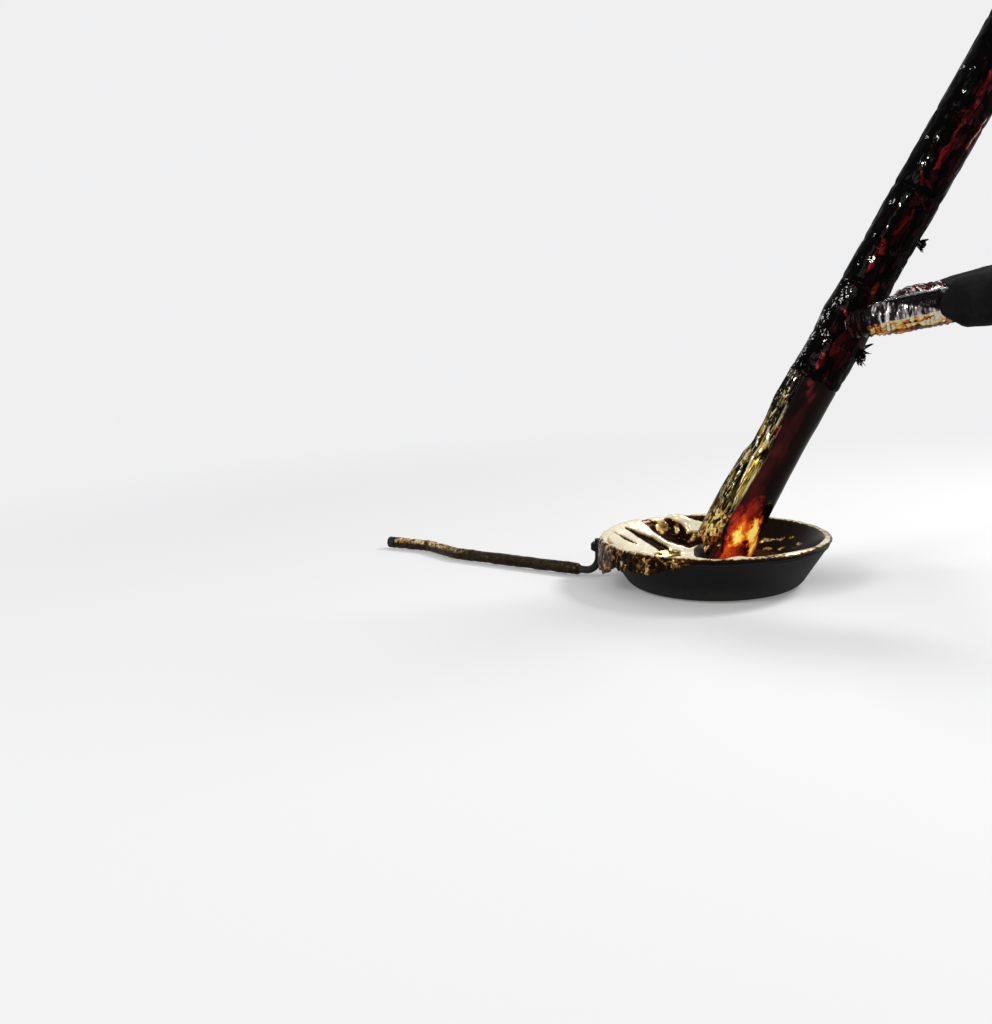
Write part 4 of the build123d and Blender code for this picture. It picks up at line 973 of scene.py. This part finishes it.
tuft("tuft_low", 0.985, 174, 0.082, 16, 1)
tuft("tuft_high", 1.462, 176, 0.056, 9, 2)

# -------- secondary struts

ROD = (  # (height, radius) of the foil
    (-0.085, 0.036), (-0.075, 0.05), (-0.03, 0.056), (0.02, 0.061), (0.09, 0.0685), (0.22, 0.07),
    (0.28, 0.071),
)
CUFF = {-1: 0.3, 1: 0.39}  # where each secondary strut's blanket starts


def rod_foil(side, label):
    seed = 20 + side

    def rule(vert, loose):
        spot = vert.co
        height = spot.z
        angle = math.degrees(math.atan2(spot.y, spot.x))
        around = Vector((spot.x * 0.4, spot.y * 0.4, height))
        root = eased(height, 0.17, 0)
        pleat = sine(angle * 2, height * 260 + 5 * wander(around, 0.04, seed))
        small = crumple(around, 0.014, seed)
        broad = crumple(at_height(spot, height * 0.6), 0.05, seed + 3)
        fold = 0.45 * small + 0.25 * broad + 0.3 * pleat
        rise = 0.0032 * small + 0.0036 * broad + 0.0014 * pleat * (1 + root)
        if side > 0:
            rise += (0.004 + 0.006 * small) * eased(height, 0.19, 0.23)
            rise -= 0.013 * eased(height, 0.22, 0.18)
        moved = spot + outward_at(spot) * rise * loose
        if side < 0:
            moved.y -= 0.0065 * loose
        return moved, fold * loose, 0

    reach = CUFF[side] + 0.006
    inside = [(0.0385, 0.05), (0.0385, reach - 0.01)]
    line = [(radius, height) for height, radius in ROD] + [(0.06, reach)]
    shaped = ruffled(sheet(line, inside, 120, 0.0045), rule, arm_place(side))
    made = piece(f"rod_foil_wrap_{label}", shaped, rod_foil_finish(side))
    hang(made, "leg", "silver_foil", f"rod_foil_{label}")


def blanket_sleeve(side, label):
    seed = 30 + side
    start = CUFF[side]

    def rule(vert, loose):
        spot = vert.co
        height = spot.z
        bow = 0.05 * eased(spot.y, 0, 0.09) + 0.05 * eased(spot.y, -0.02, -0.09)
        slant = eased(height, start + 0.16, start) * (bow - 0.02) if side < 0 else 0
        folds = wander(at_height(spot, height * 0.5), 0.09, seed)
        lap = eased(abs(height - 0.56 - 0.05 * math.atan2(spot.y, spot.x)), 0.012, 0)
        rise = 0.0026 * folds + 0.0012 * crumple(spot, 0.05, seed) + 0.0012 * lap
        moved = spot + outward_at(spot) * rise * loose
        sag = 0.008 + 0.008 * eased(height, 0.3, 0.5) if side < 0 else 0.025
        moved.y -= sag * eased(spot.xy.length, 0.06, 0.08) * eased(height, 0.9, 0.8)
        moved.z += slant
        return moved, folds * loose, 0

    wide = 0.003 if side < 0 else 0
    line = [(0.08, start + 0.006), (0.088, start), (0.0915, start + 0.006)]
    line += [(0.093 + wide, start + 0.02), (0.0985 + 1.5 * wide, 0.47), (0.1 + wide, 0.62)]
    line += [(0.096, 0.85), (0.09, 0.893), (0.084, 0.903), (0.066, 0.905)]
    inside = [(0.0585, start + 0.05), (0.0585, 0.86)]
    shaped = ruffled(sheet(line, inside, 96, 0.008), rule, arm_place(side))
    made = piece(f"barrel_blanket_{label}", shaped, blanket)
    hang(made, "leg", "black_blanket", f"barrel_sleeve_{label}")


for side, label in ((-1, "left"), (1, "right")):
    rod_foil(side, label)
    blanket_sleeve(side, label)

# -------- footpad

# The foil's visible side from the hub out over the bead and down, and its hidden side, as (radius,
# height). Round the pad, degrees run from inboard by way of the far side.
PAD_LINE = [
    (0.126, 0.033), (0.15, 0.0325), (0.3, 0.0325), (0.314, 0.033), (0.332, 0.0385),
    (0.3468, 0.0505), (0.4385, RIM_TOP - 0.0115), (0.447, RIM_TOP - 0.002), (0.4585, RIM_TOP),
    (0.4705, RIM_TOP - 0.0065), (0.478, RIM_TOP - 0.0195), (0.4785, RIM_TOP - 0.04),
    (0.4775, RIM_TOP - 0.0725),
]
PAD_INSIDE = [
    (0.126, 0.0242), (0.312, 0.0245), (0.333, 0.03), (0.346, 0.044), (0.4435, RIM_TOP - 0.015),
    (0.447, RIM_TOP - 0.01), (0.458, RIM_TOP - 0.01), (0.4665, RIM_TOP - 0.016),
    (0.4705, RIM_TOP - 0.0275), (0.471, RIM_TOP - 0.0695),
]
PAD_PLEATS = (  # valleys in the lining, sunk and painted dark as shade, as lines of (degrees round, height, half width)
    ((150, 0.182, 0.005), (142, 0.143, 0.014), (133.5, 0.112, 0.021), (124, 0.068, 0.024)),
    ((133, 0.213, 0.013), (127, 0.168, 0.026), (118, 0.128, 0.036), (106, 0.1, 0.036),
     (94, 0.112, 0.028)),
    ((119, 0.214, 0.012), (115, 0.172, 0.02), (109, 0.14, 0.026)),
    ((108, 0.21, 0.006), (99, 0.191, 0.013), (89, 0.173, 0.018)),
    ((166, 0.192, 0.003), (158, 0.158, 0.005), (149, 0.118, 0.003)),
    ((137, 0.058, 0.006), (115, 0.045, 0.012)),
)
LUMPS = (  # (degrees round, height, half length, half width, tall) of crumpled clumps on the wall
    (121, 0.16, 0.032, 0.026, 0.016), (111.5, 0.15, 0.02, 0.024, 0.014),
    (99, 0.124, 0.034, 0.016, 0.014), (104, 0.107, 0.026, 0.011, 0.01),
    (52, 0.113, 0.042, 0.014, 0.01), (43, 0.13, 0.034, 0.013, 0.012),
    (34, 0.138, 0.024, 0.01, 0.01), (50, 0.084, 0.036, 0.011, 0.012), (38, 0.092, 0.03, 0.01, 0.01),
    (24, 0.128, 0.024, 0.013, 0.012), (26, 0.106, 0.02, 0.01, 0.01),
    (-40, 0.12, 0.03, 0.014, 0.012), (-68, 0.1, 0.03, 0.012, 0.012),
)
SKIRT = (  # (degrees round, how much farther down than plain the hem hangs)
    (-180, 0.05), (-160, 0.05), (-148, 0.012), (-138, 0), (-126, 0.004), (-120, -0.012),
    (-110, -0.03), (-103, -0.047), (-96, -0.058), (126, -0.058), (136, -0.04), (150, 0.02),
    (166, 0.045), (180, 0.05),
)
WALL_RADIUS = 0.4  # mean radius of the pad's wall
WALL_SLOPE = 1.2  # its length up the slope for each metre of height
BEAD = 0.46  # radius beyond which foil below the rim's top is the skirt
WALL_TOP = 0.43  # radius beyond which the lining is on the bead
DEEPEST = -0.0035  # how far the foil may sink below its plain line
ON_DISH = 0.0275  # lowest height of the lining's visible side
UNDER = 0.024  # lowest height of its hidden side


def on_wall(turn, height):
    """A place on the pad's wall as (distance round, distance up the slope)."""
    return Vector((math.radians(turn) * WALL_RADIUS, height * WALL_SLOPE))


def pleat_at(spot):
    """How deep the nearest listed valley is, 0 to 1."""
    deepest = 0
    for line in PAD_PLEATS:
        for (turn, height, half), (last_turn, last_height, last_half) in zip(line, line[1:]):
            start, stop = on_wall(turn, height), on_wall(last_turn, last_height)
            share = (spot - start).dot(stop - start) / (stop - start).length_squared
            share = min(1, max(0, share))
            width = half + (last_half - half) * share
            away = (spot - start.lerp(stop, share)).length
            deepest = max(deepest, eased(away, width * 1.15, width * 0.8))
    return deepest


def lump_at(spot, rough):
    """How tall the clump of foil is at a place on the wall."""
    tallest = 0
    for where, height, half_long, half_wide, tall in LUMPS:
        away = spot - on_wall(where, height)
        near = Vector((away.x / half_long, (away.y + 0.3 * away.x) / half_wide)).length
        if near < 1:
            tallest = max(tallest, tall * eased(near, 1, 0.5) * rough)
    return tallest


def noise_round(turn, span, seed):
    """Noise that depends only on the degrees round the pad."""
    return wander((turn / span, 0, 0), 1, seed)


def pad_rule(vert, loose):
    spot = vert.co
    turn = math.degrees(math.atan2(spot.y, spot.x))
    reach = spot.xy.length
    outside = reach > BEAD and spot.z < RIM_TOP - 0.004
    bare = eased(turn, -116, -94) * eased(turn, 142, 122)
    left = eased(abs(abs(turn) - 180), 75, 20)
    small = crumple(spot, 0.034, 42)
    tiny = crumple(spot, 0.015, 43)
    outward = outward_at(spot)
    if outside:
        fold = 0.6 * small + 0.5 * tiny
        rise = 0.006 * small + 0.005 * tiny + 0.003 * noise_round(turn, 2.2, 7)
        rise = max(rise, DEEPEST) * (1 - 0.6 * bare)
        # Where no skirt hangs the fold is held low, which paints that foil dark as shade.
        fold = fold * (1 - bare) - 1.2 * bare
    else:
        climb = spot.z - 0.8 * max(0, 0.33 - reach)
        warp = 0.012 * wander(spot, 0.1, 2) + 0.006 * small
        here = on_wall(turn + warp * 120, climb + warp)
        run = reach + 0.6 * max(0, spot.z - 0.034)
        ribbon = sine(turn * 15 - 900 * run, 1.6 * wander(spot, 0.2, 2))
        laid = eased(turn, 84, 94) * eased(turn, 186, 172)
        wall = eased(reach, 0.22, 0.36) * (1 - 0.5 * eased(reach, 0.43, 0.45))
        # On the inboard wall the fold is held low: the foil sinks there and is painted dark as
        # shade.
        inboard = eased(turn, 92, 82) * eased(turn, -75, -50)
        fold = ribbon * (1 - laid) + (0.9 - 2.3 * pleat_at(here)) * laid
        fold = (fold * (1 - inboard) + (0.25 * ribbon - 1.2) * inboard) * wall
        broad = crumple(spot, 0.085, 41)
        lump = lump_at(here, 0.7 + 0.5 * tiny + 0.3 * small)
        rise = 0.009 * fold + 0.005 * broad + 0.002 * small + lump
        fold = 0.85 * fold + 0.15 * broad + 0.1 * small
        clump = min(1, lump * 260)
        fold = fold * (1 - clump) + (0.08 + 0.5 * eased(turn, 72, 62) + tiny) * clump
        rise = max(rise, DEEPEST)
    moved = spot + vert.normal * (rise * loose)
    top = eased(spot.z, 0.12, RIM_TOP) * loose
    if outside:
        top *= eased(spot.z, RIM_TOP - 0.07, RIM_TOP - 0.01)
    moved.z += 0.008 * top * (0.5 + 0.6 * noise_round(turn, 22, 9))
    if outside:
        hem = min(1, max(0, (RIM_TOP - 0.012 - spot.z) / 0.06))
        ragged = 0.006 * noise_round(turn, 11, 3) + 0.009 * noise_round(turn, 3.1, 5)
        ragged += 0.007 * noise_round(turn, 1.3, 6)
        moved.z -= hem * (reading(SKIRT, turn) + ragged * (1.4 - 1.1 * bare))
        moved += outward * (0.012 * left * (0.4 + 0.6 * hem)) * loose
        moved -= outward * (0.004 * bare * hem) * loose
    elif reach > WALL_TOP:
        moved += outward * (0.005 * left * loose)
    moved.z = max(moved.z, ON_DISH if loose > 0.5 else UNDER)
    return moved, fold * loose, float(outside) * (1 - bare) * loose


lining = ruffled(sheet(PAD_LINE, PAD_INSIDE, 440, 0.0062), pad_rule, PAD)
hang(piece("pad_foil_lining", lining, gold_foil), "footpad", "gold_foil", "pad_foil")

# -------- ground probe

PROBE_BENDS = (  # the boom's bends and its tip, from the pad's axis
    (-0.4912, 0.069, 0.031), (-1.185, 0.449, 0.031), (-1.359, 0.631, 0.031), (-1.55, 0.72, 0.031),
)
ROLL_START = 0.1  # how far past the first bend the foil starts
ROLL_STEP = 0.012  # from ring to ring
ROLL_RADIUS, ROLL_END_RADIUS = 0.0265, 0.0195
ROLL_SIDES = 40  # points round a ring


def probe_wrap():
    """Foil rolled loosely round the probe's boom, from its upright part to the head."""
    shaped = layered(*LAYERS)
    bends = [Vector(bend) for bend in PROBE_BENDS]
    first = (bends[1] - bends[0]).normalized()
    stations = [bends[0] + first * ROLL_START] + bends[1:]
    ways = [(after - before).normalized() for before, after in zip(stations, stations[1:])]
    rows = []
    for number, (start, stop) in enumerate(zip(stations, stations[1:])):
        into = ways[max(number - 1, 0)]
        onward = ways[min(number + 1, len(ways) - 1)]
        count = max(2, int((stop - start).length / ROLL_STEP))
        for step in range(count):
            share = step / count
            way = ways[number].lerp(into, 0.5 * eased(share, 0.2, 0))
            way = way.lerp(onward, 0.5 * eased(share, 0.8, 1))
            rows.append((start.lerp(stop, share), way.normalized()))
    rows.append((stations[-1], ways[-1]))
    for number, (centre, way) in enumerate(rows):
        side = UP.cross(way).normalized()
        radius = ROLL_END_RADIUS if number in (0, len(rows) - 1) else ROLL_RADIUS
        ring = bmesh.ops.create_circle(shaped, segments=ROLL_SIDES, radius=radius)
        place = placed(centre, side, way.cross(side), way)
        bmesh.ops.transform(shaped, matrix=place, verts=ring["verts"])
    bmesh.ops.bridge_loops(shaped, edges=shaped.edges[:])
    bmesh.ops.holes_fill(shaped, edges=shaped.edges[:], sides=ROLL_SIDES)
    bmesh.ops.recalc_face_normals(shaped, faces=shaped.faces)
    shaped.normal_update()
    moves = []
    for vert in shaped.verts:
        fold = 0.6 * crumple(vert.co, 0.03, 51) + 0.5 * crumple(vert.co, 0.014, 52)
        moves.append((vert, vert.co + vert.normal * max(-0.005, 0.0042 * fold), fold))
    for vert, spot, fold in moves:
        vert.co = spot
        vert.co.z = max(vert.co.z, 0.0015)
        vert[shaped.verts.layers.float["ridge"]] = fold
    bmesh.ops.transform(shaped, matrix=PAD, verts=shaped.verts)
    hang(piece("probe_foil_roll", shaped, probe_gold), "footpad", "gold_foil", "probe_foil")


probe_wrap()

# -------- CAD nodes that show

STEEL_NODES = ["strut_collar", "cross_pin", "pad_race", "gland_ring"]
for label in ("left", "right"):
    STEEL_NODES += [f"downlock_clamp_{label}", f"downlock_link_{label}"]
# Painted shade: the pad's outside and the probe's parts take the near black pad skin.
DARK_NODES = ["pad_dish", "pad_rim", "pad_hub", "pad_cap", "ankle_fitting"]
DARK_NODES += ["probe_boom", "probe_bracket", "probe_head"]
dress(frame["nodes"], alloy)
dress(STEEL_NODES, steel)
dress(DARK_NODES, pad_skin)

# -------- studio

FLOOR_GAP = 0.002  # between the floor and the pad's sole
LIGHT_COLOURS = ((0.5, 0.5, 0.51), (0.87, 0.87, 0.88))  # of the backdrop, as a light and as seen
LAMPS = (  # (name, place from the target, size, watts)
    ("key", (5.5, 2, 6.5), 2.2, 620),
    ("fill", (-5, -5, 4.5), 2.4, 200),
    ("front", (4.5, -5.5, 2.6), 2.6, 70),
)
TARGET = BALL + Vector((0.3, 0, 0.5))  # what the lamps are aimed at
VIEW = (8.75, 10.34, -2.36)  # the camera's azimuth, elevation and roll in degrees
VIEWPOINT = BALL + Vector((-0.176, -4.856, 1.079))
SENSOR = 36  # width in millimetres
FOCAL_PIXELS = 1160  # the photo's focal length
LONG_SIDE_PIXELS = 1024  # the photo's longer side


def studio():
    """Floor, backdrop, lights, world and camera."""
    scene = bpy.context.scene
    scene.view_settings.view_transform = "Standard"

    bed = bmesh.new()
    bmesh.ops.create_grid(bed, x_segments=1, y_segments=1, size=30)
    bmesh.ops.translate(bed, verts=bed.verts, vec=(0, 0, GROUND - FLOOR_GAP))
    paint = Finish("studio floor")
    seen = paint.node("ShaderNodeLightPath", {}, {}, "Is Camera Ray")
    away = paint.vector("DISTANCE", paint.place, (BALL.x + 0.5, 0, 0), "Value")
    fade = paint.steps(away, 1.6, 7)
    near_colour = paint.mix(seen, (0.4, 0.4, 0.4), (0.8, 0.8, 0.8))
    painted = paint.surface(
        Base_Color=paint.mix(fade, near_colour, (0, 0, 0)),
        Roughness=0.9,
        Specular_IOR_Level=0,
        Emission_Color=paint.mix(fade, (0, 0, 0), paint.mix(seen, *LIGHT_COLOURS)),
        Emission_Strength=1,
    )
    floor = piece("studio_floor", bed, painted, smooth=False)

    world = bpy.data.worlds.new("studio")
    scene.world = world
    world.use_nodes = True
    sky = Tree(world.node_tree)
    looked_at = sky.node("ShaderNodeLightPath", {}, {}, "Is Camera Ray")
    sky.fill(sky.nodes["Background"].inputs["Color"], sky.mix(looked_at, *LIGHT_COLOURS))

    for name, spot, size, energy in LAMPS:
        light = bpy.data.lights.new(name, "AREA")
        light.energy = energy
        light.size = size
        holder = bpy.data.objects.new(name, light)
        scene.collection.objects.link(holder)
        holder.location = TARGET + Vector(spot)
        holder.rotation_euler = (-Vector(spot)).to_track_quat("-Z", "Y").to_euler()

    azimuth, elevation, roll = (math.radians(angle) for angle in VIEW)
    level = Vector((math.sin(azimuth), -math.cos(azimuth), 0))
    back = level * math.cos(elevation) + UP * math.sin(elevation)
    right = (-back).cross(UP).normalized()
    up = right.cross(-back)
    tilted_right = right * math.cos(roll) + up * math.sin(roll)
    tilted_up = up * math.cos(roll) - right * math.sin(roll)
    lens = bpy.data.cameras.new("camera")
    lens.sensor_width = SENSOR
    lens.lens = SENSOR * FOCAL_PIXELS / LONG_SIDE_PIXELS
    lens.clip_end = 100
    camera = bpy.data.objects.new("camera", lens)
    scene.collection.objects.link(camera)
    camera.matrix_world = placed(VIEWPOINT, tilted_right, tilted_up, back)
    scene.camera = camera


studio()
